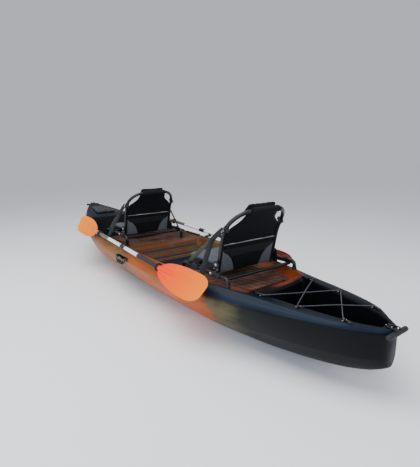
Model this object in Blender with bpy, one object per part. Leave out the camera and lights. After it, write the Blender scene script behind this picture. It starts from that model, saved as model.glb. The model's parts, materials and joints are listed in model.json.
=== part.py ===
"""Tandem sit-on-top touring and fishing kayak with two folding frame seats and two paddles.

Frame: metres, +X to the bow, +Y to port, +Z up, origin under the middle of the boat at
the height of the keel flat.
"""
import math

import bmesh
import bpy
from mathutils import Matrix, Vector
from mathutils.bvhtree import BVHTree

# ---------------------------------------------------------------- driving dimensions
HULL_LENGTH = 3.96
HULL_BEAM = 0.876
HULL_DEPTH = 0.353
HULL_WALL = 0.0055
GAP = 0.0003
SEAT_GAP = 0.0006

SCUPPER_BORE = 0.012
SCUPPER_WALL = 0.007
SCUPPERS = ((-1.62, 0.038), (-0.24, 0.066), (1.0, 0.05))

SEAT_HINGES = (("rear", -1.042), ("front", 0.367))
SEAT_TUBE = 0.0125
SEAT_RAIL_RISE = 0.047
SEAT_LEG_BACK = 0.150
SEAT_LEG_FRONT = 0.320
SEAT_CROSS_TUBE = 0.011
SEAT_CROSS_DROP = 0.015
SEAT_CROSS_AT = (-0.105, 0.262)
SEAT_CORNER = 0.034
BRACKET_REACH = 0.0075
BRACKET_THICK = 0.006
BRACKET_HALF = 0.026
BRACKET_BOSS = 0.0137
BRACKET_PIN = 0.006
BACK_HINGE_RISE = 0.045
BACK_HALF_WIDTH = 0.2228
BACK_HEIGHT = 0.350
BACK_SHOULDER = 0.130
SHOULDER_STEPS = 7
BACK_TAIL = 0.065
BACK_BEND_START = 0.130
BACK_BEND = 1.60
BACK_LEAN = math.atan(0.22)
BACK_SEAM = 0.122
PANEL_THICK = 0.008
PANEL_GAP = 0.0012
HEADREST_SIZE = (0.034, 0.240, 0.100)
HEADREST_GAP = 0.004
CUSHION_LENGTH = 0.350
CUSHION_THICK = 0.042
CUSHION_SIDE_GAP = 0.0053
PAD_EDGE = 0.012
CUSHION_START = 0.045
STRAP_WIDTH = 0.022
STRAP_LEVEL = 0.235
STRAP_THICK = 0.002
STRAP_FOOT_AT = 0.060
STRAP_FOOT_OUT = 0.018
STRAP_RAIL_AT = 0.235

SEAT_RAIL_Y = BACK_HALF_WIDTH + 2 * SEAT_TUBE + BRACKET_REACH + BRACKET_THICK + BRACKET_BOSS
SEAT_RAIL_Z = HULL_DEPTH + SEAT_RAIL_RISE
BACK_HINGE_Z = SEAT_RAIL_Z + BACK_HINGE_RISE

PADDLE_SHAFT = 0.0145
PADDLE_WALL = 0.003
PADDLE_SPIGOT = 0.112
PADDLE_CENTRE_X = {1: -0.05, -1: 0.08}
PADDLE_HALF = 0.625
PADDLE_REACH = 0.023
PADDLE_LIFT = 0.034
PADDLE_RISE = 0.034
BLADE_LENGTH = 0.510
BLADE_WIDTH = 0.182
BLADE_THICK = 0.004
BLADE_NECK = 0.013
BLADE_CLEARANCE = 0.008
AFT_BLADE_TILT = math.radians(43)
FORE_BLADE_TILT = math.radians(62)

KEEPER_X = -0.060
KEEPER_LENGTH = 0.030
KEEPER_WALL = 0.004
KEEPER_PLAY = 0.0015
KEEPER_FOOT_HALF = 0.016
KEEPER_FOOT_THICK = 0.006
HANDLE_X = -0.060
HANDLE_SPAN = 0.150
HANDLE_DROP = 0.036
HANDLE_OUT = 0.010
HANDLE_PLATE = 0.005
HANDLE_PIVOT_RISE = 0.018
HANDLE_ROD = 0.0045
HANDLE_GRIP = 0.0125
HANDLE_GRIP_HALF = 0.048

HATCH_HINGE_GAP = 0.030
HATCH_AFT_LAND = 0.020
HATCH_AFT_SIDE_LAND = 0.039
HATCH_FORE_SIDE_LAND = 0.032
HATCH_CORNER = 0.040
HATCH_THICK = 0.014
HATCH_KNUCKLE = 0.006
HATCH_PIN_RISE = 0.0125
HATCH_LID_SETBACK = 0.0085
GASKET_THICK = 0.003
GASKET_INSETS = (0.006, 0.014)
LATCH_RADIUS = 0.028
LATCH_SETBACK = 0.048
LATCH_THICK = 0.007
PLUG_X = 1.435
PLUG_RADIUS = 0.018

EYE_STATIONS = (-1.39, -1.60, -1.82)
EYE_ARCH = 0.0055
EYE_WALL = 0.003
EYE_WIDTH = 0.008
EYE_FLANGE = 0.008
EYE_INSET = 0.022
BUNGEE_RADIUS = 0.0025
TRACK_START = 0.06
TRACK_LENGTH = 0.20
TRACK_WIDTH = 0.026
TRACK_HEIGHT = 0.009
TRACK_SLOT = 0.009
TRACK_WALL = 0.003
TRACK_LIP = 0.0025
MAT_MARGIN = 0.005
MAT_THICK = 0.004
TOGGLE_HALF = 0.0755
TOGGLE_RADIUS = 0.012
TOGGLE_CORD = 0.003
TOGGLE_REACH = 0.0165
TOGGLE_DROP = 0.020
TOGGLE_HALF_LOOP = 0.018
TOGGLE_ANCHOR = 0.022

# The lines below are drawn on a hull of this size and stretched to the driving dimensions.
DRAWN_LENGTH = 3.96
DRAWN_BEAM = 0.876
DRAWN_DEPTH = 0.353
FLOOR_SHARE = 0.84

# Half-breadths and heights along the boat, stern to bow.
CREASE_Y = ((-1.98, .045), (-1.9, .108), (-1.8, .174), (-1.6, .248), (-1.4, .302), (-1.2, .354), (-.8, .410),
            (-.4, .432), (0, .438), (.4, .430), (.8, .400), (1.2, .335), (1.6, .220), (1.9, .090),
            (1.98, .034))
CREASE_Z = ((-1.98, .322), (-1.8, .322), (-1.6, .315), (-1.4, .302), (-1.2, .290), (-.9, .285), (.4, .285),
            (.8, .300), (1.2, .335), (1.6, .385), (1.8, .420), (1.98, .470))
CHINE_Y = ((-1.98, .044), (-1.9, .104), (-1.6, .212), (-1.2, .285), (-.8, .325), (0, .345), (.8, .310),
           (1.2, .235), (1.6, .120), (1.8, .060), (1.9, .035), (1.98, .014))
CHINE_Z = ((-1.98, .205), (-1.9, .200), (-1.8, .192), (-1.5, .175), (-1.0, .145), (0, .125), (.8, .130),
           (1.2, .145), (1.6, .190), (1.8, .260), (1.9, .330), (1.98, .450))
KEEL_Z = ((-1.98, .160), (-1.95, .140), (-1.9, .116), (-1.8, .086), (-1.6, .052), (-1.3, .020), (-.90, 0),
          (.95, 0), (1.3, .012), (1.6, .050), (1.8, .120), (1.9, .210), (1.95, .300), (1.98, .420))
RIM_OUTER_Y = ((-1.98, .033), (-1.93, .070), (-1.84, .1445), (-1.7, .197), (-1.55, .230), (-1.4, .255),
               (-1.2, .297), (-1.0, .334), (-.5, .378), (0, .402), (.5, .405), (.9, .375), (1.2, .318),
               (1.5, .235), (1.75, .145), (1.9, .075), (1.98, .026))
RIM_INNER_Y = ((-1.98, .018), (-1.93, .042), (-1.84, .090), (-1.6, .145), (-1.4, .180), (-1.31, .205),
               (-1.24, .240), (-1.0, .285), (-.75, .315), (0, .335), (.5, .338), (.9, .310), (1.2, .260),
               (1.4, .205), (1.6, .155), (1.8, .095), (1.93, .040), (1.98, .012))
RIM_Z = ((-1.98, .345), (-1.8, .353), (.2, .353), (.6, .362), (1.0, .385), (1.3, .412), (1.6, .452),
         (1.8, .482), (1.98, .512))

# Height of the deck, wells and steps along the middle. Each pair close together is a moulded wall.
DECK_LINE = (
    (-1.980, .343), (-1.935, .343),
    (-1.918, .175), (-1.860, .155), (-1.740, .150), (-1.600, .150), (-1.470, .150), (-1.350, .150),
    (-1.328, .326), (-1.305, .338), (-1.268, .338), (-1.246, .312),
    (-1.120, .312), (-.980, .312), (-.840, .312), (-.700, .312),
    (-.678, .190), (-.540, .190), (-.400, .190), (-.260, .190), (-.128, .190),
    (-.112, .240), (-.072, .240), (-.056, .290), (-.016, .290), (.000, .335),
    (.140, .335), (.158, .312), (.300, .312), (.440, .312), (.580, .312), (.710, .312),
    (.732, .190), (.850, .190), (.980, .190), (1.100, .190), (1.212, .190),
    (1.228, .245), (1.270, .245), (1.286, .300), (1.324, .300),
    (1.342, .415), (1.400, .428), (1.470, .440),
    (1.500, .4433), (1.590, .4532), (1.680, .4631), (1.770, .4730), (1.830, .4796),
    (1.885, .491), (1.940, .503), (1.980, .515))

HATCH_OPENING = (1.500, 1.770)
HATCH_OPENING_HALF = ((1.500, .076), (1.770, .046))

FINISHES = {
    "hull_plastic": ((0.20, 0.10, 0.05), 0.42, 0.0),
    "black_plastic": ((0.020, 0.021, 0.022), 0.45, 0.0),
    "deck_foam": ((0.30, 0.23, 0.20), 0.85, 0.0),
    "rubber": ((0.015, 0.015, 0.016), 0.75, 0.0),
    "black_tube": ((0.018, 0.018, 0.020), 0.35, 0.2),
    "seat_fabric": ((0.012, 0.015, 0.015), 0.90, 0.0),
    "seat_mesh": ((0.035, 0.045, 0.048), 0.88, 0.0),
    "cushion_fabric": ((0.035, 0.050, 0.075), 0.88, 0.0),
    "webbing": ((0.040, 0.042, 0.034), 0.80, 0.0),
    "cord": ((0.020, 0.022, 0.026), 0.70, 0.0),
    "paddle_plastic": ((0.85, 0.22, 0.04), 0.40, 0.0),
    "shaft_white": ((0.70, 0.71, 0.72), 0.28, 0.0),
}


# ---------------------------------------------------------------- small tools
def start_clean():
    for item in list(bpy.data.objects):
        bpy.data.objects.remove(item, do_unlink=True)


def finish(name):
    """The Principled material of one finish, made the first time it is asked for."""
    ready = bpy.data.materials.get(name)
    if ready:
        return ready
    colour, roughness, metallic = FINISHES[name]
    made = bpy.data.materials.new(name)
    made.use_nodes = True
    shader = made.node_tree.nodes["Principled BSDF"]
    shader.inputs["Base Color"].default_value = (*colour, 1.0)
    shader.inputs["Roughness"].default_value = roughness
    shader.inputs["Metallic"].default_value = metallic
    return made


def add_object(name, data, finish_name=None, parent=None, place=None):
    """Links an object and gives it its finish, its parent and its place under that parent."""
    item = bpy.data.objects.new(name, data)
    bpy.context.scene.collection.objects.link(item)
    if finish_name:
        item.data.materials.append(finish(finish_name))
    if parent:
        item.parent = parent
    if place:
        item.matrix_basis = place
    return item


def add_pivot(name, place, parent=None):
    pivot = add_object(name, None, parent=parent)
    pivot.matrix_basis = place
    return pivot


def to_mesh(name, shape, smooth=True):
    """Turns a bmesh into a mesh with its faces pointing out."""
    bmesh.ops.recalc_face_normals(shape, faces=shape.faces)
    mesh = bpy.data.meshes.new(name)
    shape.to_mesh(mesh)
    shape.free()
    if smooth:
        mesh.shade_smooth()
        mesh.set_sharp_from_angle(angle=math.radians(35))
    return mesh


def moved(mesh, matrix):
    mesh.transform(matrix)
    return mesh


def shift(x=0.0, y=0.0, z=0.0):
    return Matrix.Translation((x, y, z))


def box_mesh(size, centre=(0, 0, 0), bevel=0.0, segments=1):
    shape = bmesh.new()
    bmesh.ops.create_cube(shape, size=1.0)
    bmesh.ops.scale(shape, vec=size, verts=shape.verts)
    if bevel:
        bmesh.ops.bevel(shape, geom=list(shape.edges), offset=bevel, segments=segments, profile=0.5,
                        affect="EDGES", clamp_overlap=True)
    bmesh.ops.translate(shape, vec=centre, verts=shape.verts)
    return to_mesh("box", shape)


def plate_mesh(outline, thick, bevel=0.0):
    """A flat outline in X and Y, raised from z = 0 to its thickness, its top edge rounded."""
    shape = bmesh.new()
    base = shape.faces.new([shape.verts.new((x, y, 0.0)) for x, y in outline])
    raised = bmesh.ops.extrude_face_region(shape, geom=[base])
    top = [item for item in raised["geom"] if isinstance(item, bmesh.types.BMVert)]
    bmesh.ops.translate(shape, vec=(0, 0, thick), verts=top)
    if bevel:
        edges = [edge for edge in shape.edges if all(vert.co.z > thick * 0.9 for vert in edge.verts)]
        bmesh.ops.bevel(shape, geom=edges, offset=bevel, segments=2, profile=0.5, affect="EDGES")
    return to_mesh("plate", shape)


def ring_mesh(outer, inner, thick):
    """The band between two outlines with the same number of points, raised to its thickness."""
    shape = bmesh.new()
    loops = [[shape.verts.new((x, y, z)) for x, y in line] for line, z in
             ((outer, 0.0), (outer, thick), (inner, thick), (inner, 0.0))]
    count = len(outer)
    for first, second in zip(loops, loops[1:] + loops[:1]):
        for i in range(count):
            shape.faces.new((first[i], first[(i + 1) % count], second[(i + 1) % count], second[i]))
    return to_mesh("ring", shape)


def turned_mesh(profile, segments=16):
    """A profile of (radius, height) points that starts and ends on the Z axis, turned round it."""
    shape = bmesh.new()
    verts = [shape.verts.new((radius, 0.0, height)) for radius, height in profile]
    edges = [shape.edges.new(pair) for pair in zip(verts, verts[1:])]
    bmesh.ops.spin(shape, geom=verts + edges, cent=(0, 0, 0), axis=(0, 0, 1), angle=math.tau, steps=segments)
    bmesh.ops.remove_doubles(shape, verts=shape.verts, dist=1e-5)
    return to_mesh("turned", shape)


def tube_curve(points, radius, closed=False, resolution=2):
    """A round tube along a list of points, as curve data with filled ends."""
    curve = bpy.data.curves.new("tube", "CURVE")
    curve.dimensions = "3D"
    spline = curve.splines.new("POLY")
    spline.points.add(len(points) - 1)
    for target, point in zip(spline.points, points):
        target.co = (*point, 1.0)
    spline.use_cyclic_u = closed
    curve.bevel_depth = radius
    curve.bevel_resolution = resolution
    curve.use_fill_caps = not closed
    return curve


def tube_mesh(points, radius, closed=False, resolution=2):
    """The same tube as a mesh, for joining to other shapes."""
    guide = add_object("tube_guide", tube_curve(points, radius, closed, resolution))
    bpy.context.view_layer.update()
    mesh = bpy.data.meshes.new_from_object(guide)
    bpy.data.objects.remove(guide, do_unlink=True)
    return mesh


def joined(item, *meshes, operation="UNION"):
    """Adds the meshes to an object, or cuts them from it, by Boolean modifiers."""
    for mesh in meshes:
        tool = add_object(item.name + "_tool", mesh, parent=item)
        tool.hide_render = True
        tool.display_type = "WIRE"
        cut = item.modifiers.new("join", "BOOLEAN")
        cut.operation = operation
        cut.solver = "EXACT"
        cut.object = tool
    return item


def arc(centre, radius, start, end, steps):
    """Points on an arc in a plane, with both its ends."""
    turns = [math.radians(start + (end - start) * i / steps) for i in range(steps + 1)]
    return [(centre[0] + radius * math.cos(a), centre[1] + radius * math.sin(a)) for a in turns]


def rounded_path(points, radius, steps=4, closed=False):
    """Rounds each corner of a path with an arc-like curve of the given size."""
    points = [Vector(point) for point in points]
    count = len(points)
    result = []
    for i, corner in enumerate(points):
        if not closed and i in (0, count - 1):
            result.append(corner)
            continue
        before = points[i - 1] - corner
        after = points[(i + 1) % count] - corner
        reach = min(radius, before.length * 0.49, after.length * 0.49)
        first = corner + before.normalized() * reach
        last = corner + after.normalized() * reach
        for step in range(steps + 1):
            t = step / steps
            result.append(first * (1 - t) ** 2 + corner * 2 * t * (1 - t) + last * t ** 2)
    return result


def flat(points):
    return [(point[0], point[1]) for point in points]


def smooth_value(points, x):
    """Height at x of the smooth line, without overshoot, through (x, value) points."""
    xs = [point[0] for point in points]
    ys = [point[1] for point in points]
    if x <= xs[0]:
        return ys[0]
    if x >= xs[-1]:
        return ys[-1]
    slopes = [(ys[i + 1] - ys[i]) / (xs[i + 1] - xs[i]) for i in range(len(xs) - 1)]
    k = max(i for i in range(len(slopes)) if xs[i] <= x)

    def tangent(i):
        if i == 0:
            return slopes[0]
        if i == len(slopes):
            return slopes[-1]
        if slopes[i - 1] * slopes[i] <= 0:
            return 0.0
        return 2 * slopes[i - 1] * slopes[i] / (slopes[i - 1] + slopes[i])

    step = xs[k + 1] - xs[k]
    t = (x - xs[k]) / step
    return ((1 + 2 * t) * (1 - t) ** 2 * ys[k] + t * (1 - t) ** 2 * step * tangent(k)
            + t * t * (3 - 2 * t) * ys[k + 1] - t * t * (1 - t) * step * tangent(k + 1))


def straight_value(points, x):
    """Height at x of the straight-sided line through (x, value) points."""
    for (x0, y0), (x1, y1) in zip(points, points[1:]):
        if x <= x1:
            return y0 + (y1 - y0) * (max(x, x0) - x0) / (x1 - x0)
    return points[-1][1]


# ---------------------------------------------------------------- hull
def along(x):
    """A drawn station as metres on this hull."""
    return x * HULL_LENGTH / DRAWN_LENGTH


def across(y):
    return y * HULL_BEAM / DRAWN_BEAM


def height(z):
    return z * HULL_DEPTH / DRAWN_DEPTH


def drawn(x):
    return x * DRAWN_LENGTH / HULL_LENGTH


def rim_outer(x):
    return across(smooth_value(RIM_OUTER_Y, drawn(x)))


def rim_inner(x):
    return across(smooth_value(RIM_INNER_Y, drawn(x)))


def rim_middle(x):
    return (rim_outer(x) + rim_inner(x)) / 2


def rim_height(x):
    return height(smooth_value(RIM_Z, drawn(x)))


def deck_line_height(x):
    return height(straight_value(DECK_LINE, drawn(x)))


def half_section(x, deck):
    """Half of the outline at a drawn station: up the side from the keel, then across the deck."""
    keel = smooth_value(KEEL_Z, x)
    chine_y = smooth_value(CHINE_Y, x)
    chine_z = smooth_value(CHINE_Z, x)
    crease_y = smooth_value(CREASE_Y, x)
    crease_z = smooth_value(CREASE_Z, x)
    outer = smooth_value(RIM_OUTER_Y, x)
    inner = smooth_value(RIM_INNER_Y, x)
    rim = smooth_value(RIM_Z, x)
    edge = min(0.008, 0.2 * (outer - inner))
    drop = rim - deck
    floor_edge = FLOOR_SHARE * inner
    floor_middle = 0.45 * inner
    if HATCH_OPENING[0] - 0.04 < x < HATCH_OPENING[1] + 0.07:
        floor_middle = straight_value(HATCH_OPENING_HALF, x)

    def side(t, bulge):
        return (chine_y + (crease_y - chine_y) * t + bulge * crease_y, chine_z + (crease_z - chine_z) * t)

    return [
        (0.0, keel),
        (0.30 * chine_y, keel),
        (0.68 * chine_y, keel + 0.26 * (chine_z - keel)),
        (chine_y, chine_z),
        side(0.35, 0.022),
        side(0.72, 0.022),
        (crease_y, crease_z),
        ((crease_y + outer) / 2 + 0.016 * crease_y, (crease_z + rim) / 2 + 0.004),
        (outer, rim - 0.8 * edge),
        (outer - edge, rim),
        (inner + edge, rim),
        (inner, rim - min(0.010, 0.35 * drop)),
        (0.93 * inner, deck + min(0.016, 0.3 * drop)),
        (floor_edge, deck),
        (floor_middle, deck),
        (0.0, deck)]


def hull_shell():
    """The closed outer skin, before the hatch is opened."""
    shape = bmesh.new()
    rings = []
    for x, deck in DECK_LINE:
        half = half_section(x, deck)
        loop = [(y, z) for y, z in half] + [(-y, z) for y, z in reversed(half[1:-1])]
        rings.append([shape.verts.new((along(x), across(y), height(z))) for y, z in loop])
    count = len(rings[0])
    for first, second in zip(rings, rings[1:]):
        for i in range(count):
            shape.faces.new((first[i], first[(i + 1) % count], second[(i + 1) % count], second[i]))
    shape.faces.new(rings[0])
    shape.faces.new(rings[-1])
    bmesh.ops.recalc_face_normals(shape, faces=shape.faces)
    return shape


def open_hatch(shape):
    """Removes the deck between the two middle lines of the hatch stations."""
    low, high = (along(x) for x in HATCH_OPENING)
    doomed = []
    for face in shape.faces:
        centre = face.calc_center_median()
        reach = max(abs(vert.co.y) for vert in face.verts)
        opening = across(straight_value(HATCH_OPENING_HALF, drawn(centre.x))) + 0.02
        if low < centre.x < high and reach < opening and centre.z > height(0.42):
            doomed.append(face)
    bmesh.ops.delete(shape, geom=doomed, context="FACES")


def scupper_centres():
    return [(along(x), side * across(y)) for x, y in SCUPPERS for side in (1, -1)]


def scupper_columns(radius, reach):
    """Round columns from the bottom skin to the floor skin at every scupper."""
    shape = bmesh.new()
    for x, y in scupper_centres():
        low = height(smooth_value(KEEL_Z, drawn(x))) - reach
        high = deck_line_height(x) + reach
        bmesh.ops.create_cone(shape, cap_ends=True, segments=12, radius1=radius, radius2=radius,
                              depth=high - low, matrix=shift(x, y, (low + high) / 2))
    return to_mesh("columns", shape)


def add_hull():
    shape = hull_shell()
    skin = BVHTree.FromBMesh(shape)
    open_hatch(shape)
    mesh = bpy.data.meshes.new("hull")
    shape.to_mesh(mesh)
    shape.free()
    mesh.shade_smooth()
    hull = add_object("hull", mesh, "hull_plastic")
    wall = hull.modifiers.new("wall", "SOLIDIFY")
    wall.thickness = HULL_WALL
    wall.offset = -1.0
    joined(hull, scupper_columns(SCUPPER_BORE + SCUPPER_WALL, -HULL_WALL / 2))
    joined(hull, scupper_columns(SCUPPER_BORE, 0.02), operation="DIFFERENCE")
    return hull, skin


class Deck:
    """Answers where the outer skin is, so that fittings can be set down on it."""

    def __init__(self, skin):
        self.skin = skin

    def top(self, x, y):
        hit = self.skin.ray_cast(Vector((x, y, 2.0)), Vector((0, 0, -1)))
        return hit[0].z

    def under(self, x0, x1, y0, y1, steps=8):
        """The highest point of the deck inside a rectangle."""
        xs = [x0 + (x1 - x0) * i / steps for i in range(steps + 1)]
        ys = [y0 + (y1 - y0) * i / steps for i in range(steps + 1)]
        return max(self.top(x, y) for x in xs for y in ys)

    def frame(self, x, y):
        """A place on the deck whose Z axis stands square to it and whose Y axis runs across."""
        hit = self.skin.ray_cast(Vector((x, y, 2.0)), Vector((0, 0, -1)))
        normal = hit[1] if hit[1].z > 0 else -hit[1]
        run = Vector((0, 1, 0)).cross(normal).normalized()
        side = normal.cross(run)
        turn = Matrix((run, side, normal)).transposed().to_4x4()
        return Matrix.Translation(hit[0]) @ turn


# ---------------------------------------------------------------- deck fittings
def strap_eye_outline():
    """Two flanges and an arch, seen from the end."""
    outer = EYE_ARCH + EYE_WALL
    flange = outer + EYE_FLANGE
    middle = (0.0, EYE_WALL + 0.001)
    return ([(flange, 0.0), (flange, EYE_WALL), (outer, EYE_WALL)]
            + arc(middle, outer, 0, 180, 6)
            + [(-outer, EYE_WALL), (-flange, EYE_WALL), (-flange, 0.0), (-EYE_ARCH, 0.0)]
            + arc(middle, EYE_ARCH, 180, 0, 6) + [(EYE_ARCH, 0.0)])


def strap_eye_mesh():
    """An eye that stands on z = 0 and is open along its Y axis."""
    mesh = plate_mesh(strap_eye_outline(), EYE_WIDTH)
    return moved(mesh, shift(0, EYE_WIDTH / 2, 0) @ Matrix.Rotation(math.radians(90), 4, "X"))


def seated(deck, x, y, half_x, half_y):
    return shift(x, y, deck.under(x - half_x, x + half_x, y - half_y, y + half_y) + SEAT_GAP)


def add_tank_well_cords(deck):
    """Six eyes on the side decks of the tank well and two cords laced through them."""
    turn = Matrix.Rotation(math.radians(90), 4, "Z")
    spots = {}
    for side, name in ((1, "port"), (-1, "starboard")):
        for number, drawn_x in enumerate(EYE_STATIONS, 1):
            x = along(drawn_x)
            y = side * (rim_inner(x) + EYE_INSET)
            place = seated(deck, x, y, EYE_WIDTH / 2, EYE_ARCH + EYE_WALL + EYE_FLANGE)
            add_object(f"{name}_bungee_eye_{number}", strap_eye_mesh(), "black_plastic", place=place @ turn)
            spots[side, number] = place.translation + Vector((0, 0, EYE_WALL + 0.0015))
    lift = Vector((0, 0, 2.6 * BUNGEE_RADIUS))
    step = Vector((0.0065, 0, 0))
    for side, name in ((1, "first"), (-1, "second")):
        over = lift if side < 0 else Vector((0, 0, 0))
        start, turn_eye, end = spots[side, 1], spots[-side, 2], spots[side, 3]
        route = [start, start - step, (start + turn_eye) / 2 + over, turn_eye + step, turn_eye - step,
                 (turn_eye + end) / 2 + over, end + step, end]
        cord = tube_curve(rounded_path(route, 0.012, 3), BUNGEE_RADIUS)
        add_object(f"{name}_tank_well_bungee", cord, "cord")


def toggle_place(end, deck):
    """Where the cord of an end handle turns over its eye; end is -1 at the stern and 1 at the bow."""
    x = end * (HULL_LENGTH / 2 - TOGGLE_ANCHOR)
    return deck.frame(x, 0.0)


def add_end_handle(end, name, deck):
    """A bar that hangs over the end of the hull on a loop of cord."""
    frame = toggle_place(end, deck)
    normal = frame.to_3x3() @ Vector((0, 0, 1))
    eye = add_object(f"{name}_handle_eye", strap_eye_mesh(), "black_plastic")
    eye.matrix_basis = Matrix.Translation(normal * SEAT_GAP) @ frame
    axis = frame.translation + normal * (EYE_WALL + 0.002)
    pivot = add_pivot(f"{name}_handle_pivot", Matrix.Translation(axis))
    out = end * (HULL_LENGTH / 2 + TOGGLE_REACH) - axis.x
    edge = deck.top(end * (HULL_LENGTH / 2 - 0.001), 0.0) - axis.z + TOGGLE_CORD + 0.004
    low = -TOGGLE_DROP + TOGGLE_RADIUS + GAP
    half = TOGGLE_HALF_LOOP
    loop = [(out, half, low), (out, half, edge), (0, half, 0)]
    loop += [(x, -y, z) for x, y, z in reversed(loop)]
    cord = tube_curve(rounded_path(loop, 0.010, 4), TOGGLE_CORD)
    add_object(f"{name}_handle_cord", cord, "cord", parent=pivot)
    radius = TOGGLE_RADIUS
    profile = [(0, -TOGGLE_HALF), (radius * 0.7, -TOGGLE_HALF), (radius, -TOGGLE_HALF + 0.004),
               (radius * 0.86, -0.030), (radius, -0.026), (radius, 0.026), (radius * 0.86, 0.030),
               (radius, TOGGLE_HALF - 0.004), (radius * 0.7, TOGGLE_HALF), (0, TOGGLE_HALF)]
    grip = moved(turned_mesh(profile, 12), Matrix.Rotation(math.radians(90), 4, "X"))
    add_object(f"{name}_handle_grip", grip, "black_plastic", parent=pivot, place=shift(out, 0, -TOGGLE_DROP))


def shoulder_frame(side, x):
    """A place on the sloping shoulder outside the rim, its Z axis square to the surface."""
    drawn_x = drawn(x)
    section = half_section(drawn_x, straight_value(DECK_LINE, drawn_x))
    low = Vector((0, across(section[6][0]), height(section[6][1])))
    high = Vector((0, across(section[7][0]), height(section[7][1])))
    up = (high - low).normalized()
    normal = Vector((1, 0, 0)).cross(up)
    if normal.y < 0:
        normal = -normal
    middle = (low + high) / 2
    run = Vector((1, 0, 0))
    if side < 0:
        up, normal, middle = (Vector((v.x, -v.y, v.z)) for v in (up, normal, middle))
        run = -run
    turn = Matrix((run, up, normal)).transposed()
    if turn.determinant() < 0:
        turn = Matrix((-run, up, normal)).transposed()
    middle.x = x
    return Matrix.Translation(middle) @ turn.to_4x4()


def add_side_handle(side, name):
    """A grip that hangs against the side on two short arms, and its mounting plate."""
    x = along(HANDLE_X)
    frame = shoulder_frame(side, x)
    plate = box_mesh((HANDLE_SPAN + 0.036, 0.026, HANDLE_PLATE), (0, 0, HANDLE_PLATE / 2 + 0.0012), 0.0012)
    mount = add_object(f"{name}_handle_mount", plate, "black_plastic")
    mount.matrix_basis = frame
    ears = []
    for end in (1, -1):
        ears.append(box_mesh((0.008, 0.016, 0.020), (end * (HANDLE_SPAN / 2 + 0.012), 0, 0.014)))
    joined(mount, *ears)
    axis = frame @ Vector((0, 0, HANDLE_PIVOT_RISE))
    pivot = add_pivot(f"{name}_handle_pivot", Matrix.Translation(axis))
    half = HANDLE_SPAN / 2
    out = side * HANDLE_OUT
    arm = [(half + 0.0075, 0, 0), (half, 0, 0), (half, out, -HANDLE_DROP)]
    arm += [(-x, y, z) for x, y, z in reversed(arm)]
    tube = tube_mesh(rounded_path(arm, 0.012, 3), HANDLE_ROD)
    handle = add_object(f"{name}_side_handle", tube, "black_plastic", parent=pivot)
    end = HANDLE_GRIP_HALF
    radius = HANDLE_GRIP
    grip = turned_mesh([(0, -end), (radius - 0.002, -end), (radius, 0.003 - end), (radius, end - 0.003),
                        (radius - 0.002, end), (0, end)], 12)
    moved(grip, shift(0, out, -HANDLE_DROP) @ Matrix.Rotation(math.radians(90), 4, "Y"))
    joined(handle, grip)


def paddle_height(x):
    """Height of a paddle's axis above the keel at x."""
    return rim_height(along(KEEPER_X)) + PADDLE_LIFT + PADDLE_RISE * (x - along(KEEPER_X))


def paddle_y():
    """Outside the rim, and far enough out for the aft blade to clear the seat straps."""
    straps = SEAT_RAIL_Y + SEAT_TUBE + STRAP_FOOT_OUT + BLADE_CLEARANCE
    return max(rim_outer(along(KEEPER_X)) + PADDLE_REACH, straps + BLADE_WIDTH / 2 * math.cos(AFT_BLADE_TILT))


def add_paddle_keeper(side, name, deck):
    """An open cradle on the rim that a paddle's shaft is pressed down into."""
    x = along(KEEPER_X)
    inner = PADDLE_SHAFT + KEEPER_PLAY
    outer = inner + KEEPER_WALL
    y = side * paddle_y()
    z = paddle_height(x)
    cradle = arc((0, 0), outer, 180, 360, 8) + arc((0, 0), inner, 360, 180, 8)
    base_y = side * rim_middle(x)
    half_base = KEEPER_FOOT_HALF
    floor = deck.under(x - KEEPER_LENGTH / 2, x + KEEPER_LENGTH / 2, base_y - half_base, base_y + half_base)
    floor += SEAT_GAP
    thick = KEEPER_FOOT_THICK
    mesh = moved(plate_mesh(cradle, KEEPER_LENGTH), Matrix.Rotation(math.radians(90), 4, "Z")
                 @ Matrix.Rotation(math.radians(90), 4, "X") @ shift(0, 0, -KEEPER_LENGTH / 2))
    keeper = add_object(f"{name}_paddle_keeper", mesh, "black_plastic", place=shift(x, y, z))
    foot = box_mesh((KEEPER_LENGTH - 0.002, half_base * 2, thick), (0, base_y - y, floor + thick / 2 - z))
    low, high = floor + 0.001 - z, -inner - 0.0008
    arm = box_mesh((KEEPER_LENGTH - 0.004, abs(y - base_y), high - low),
                   (0, (base_y - y) / 2, (high + low) / 2))
    joined(keeper, foot, arm)


def add_gear_track(side, name, deck):
    """A channel for sliding accessories, let down on the rim."""
    x = along(TRACK_START) + TRACK_LENGTH / 2
    y = side * rim_middle(x)
    top = TRACK_HEIGHT
    half = TRACK_WIDTH / 2
    slot = TRACK_SLOT / 2
    inside = half - TRACK_WALL
    right = [(half, 0), (half, top), (slot, top), (slot, top - TRACK_LIP), (inside, top - TRACK_LIP),
             (inside, TRACK_LIP)]
    outline = right + [(-y, z) for y, z in reversed(right)]
    mesh = plate_mesh(outline, TRACK_LENGTH)
    moved(mesh, shift(-TRACK_LENGTH / 2) @ Matrix.Rotation(math.radians(90), 4, "Z")
          @ Matrix.Rotation(math.radians(90), 4, "X"))
    add_object(f"{name}_gear_track", mesh, "black_plastic",
               place=seated(deck, x, y, TRACK_LENGTH / 2, half))


def add_seat_mats(deck):
    """Foam pads on the two seat platforms."""
    for name, start, end in (("rear", -1.23, -0.715), ("front", 0.175, 0.695)):
        x0, x1 = along(start), along(end)
        widest = SEAT_RAIL_Y - SEAT_TUBE - MAT_MARGIN
        corners = [(x, min(FLOOR_SHARE * rim_inner(x) - MAT_MARGIN, widest)) for x in (x0, x1)]
        outline = [(x, y, 0) for x, y in corners] + [(x, -y, 0) for x, y in reversed(corners)]
        mesh = plate_mesh(flat(rounded_path(outline, 0.03, 3, closed=True)), MAT_THICK)
        floor = deck.top((x0 + x1) / 2, 0.0)
        add_object(f"{name}_seat_mat", mesh, "deck_foam", place=shift(0, 0, floor + GAP))


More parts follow.
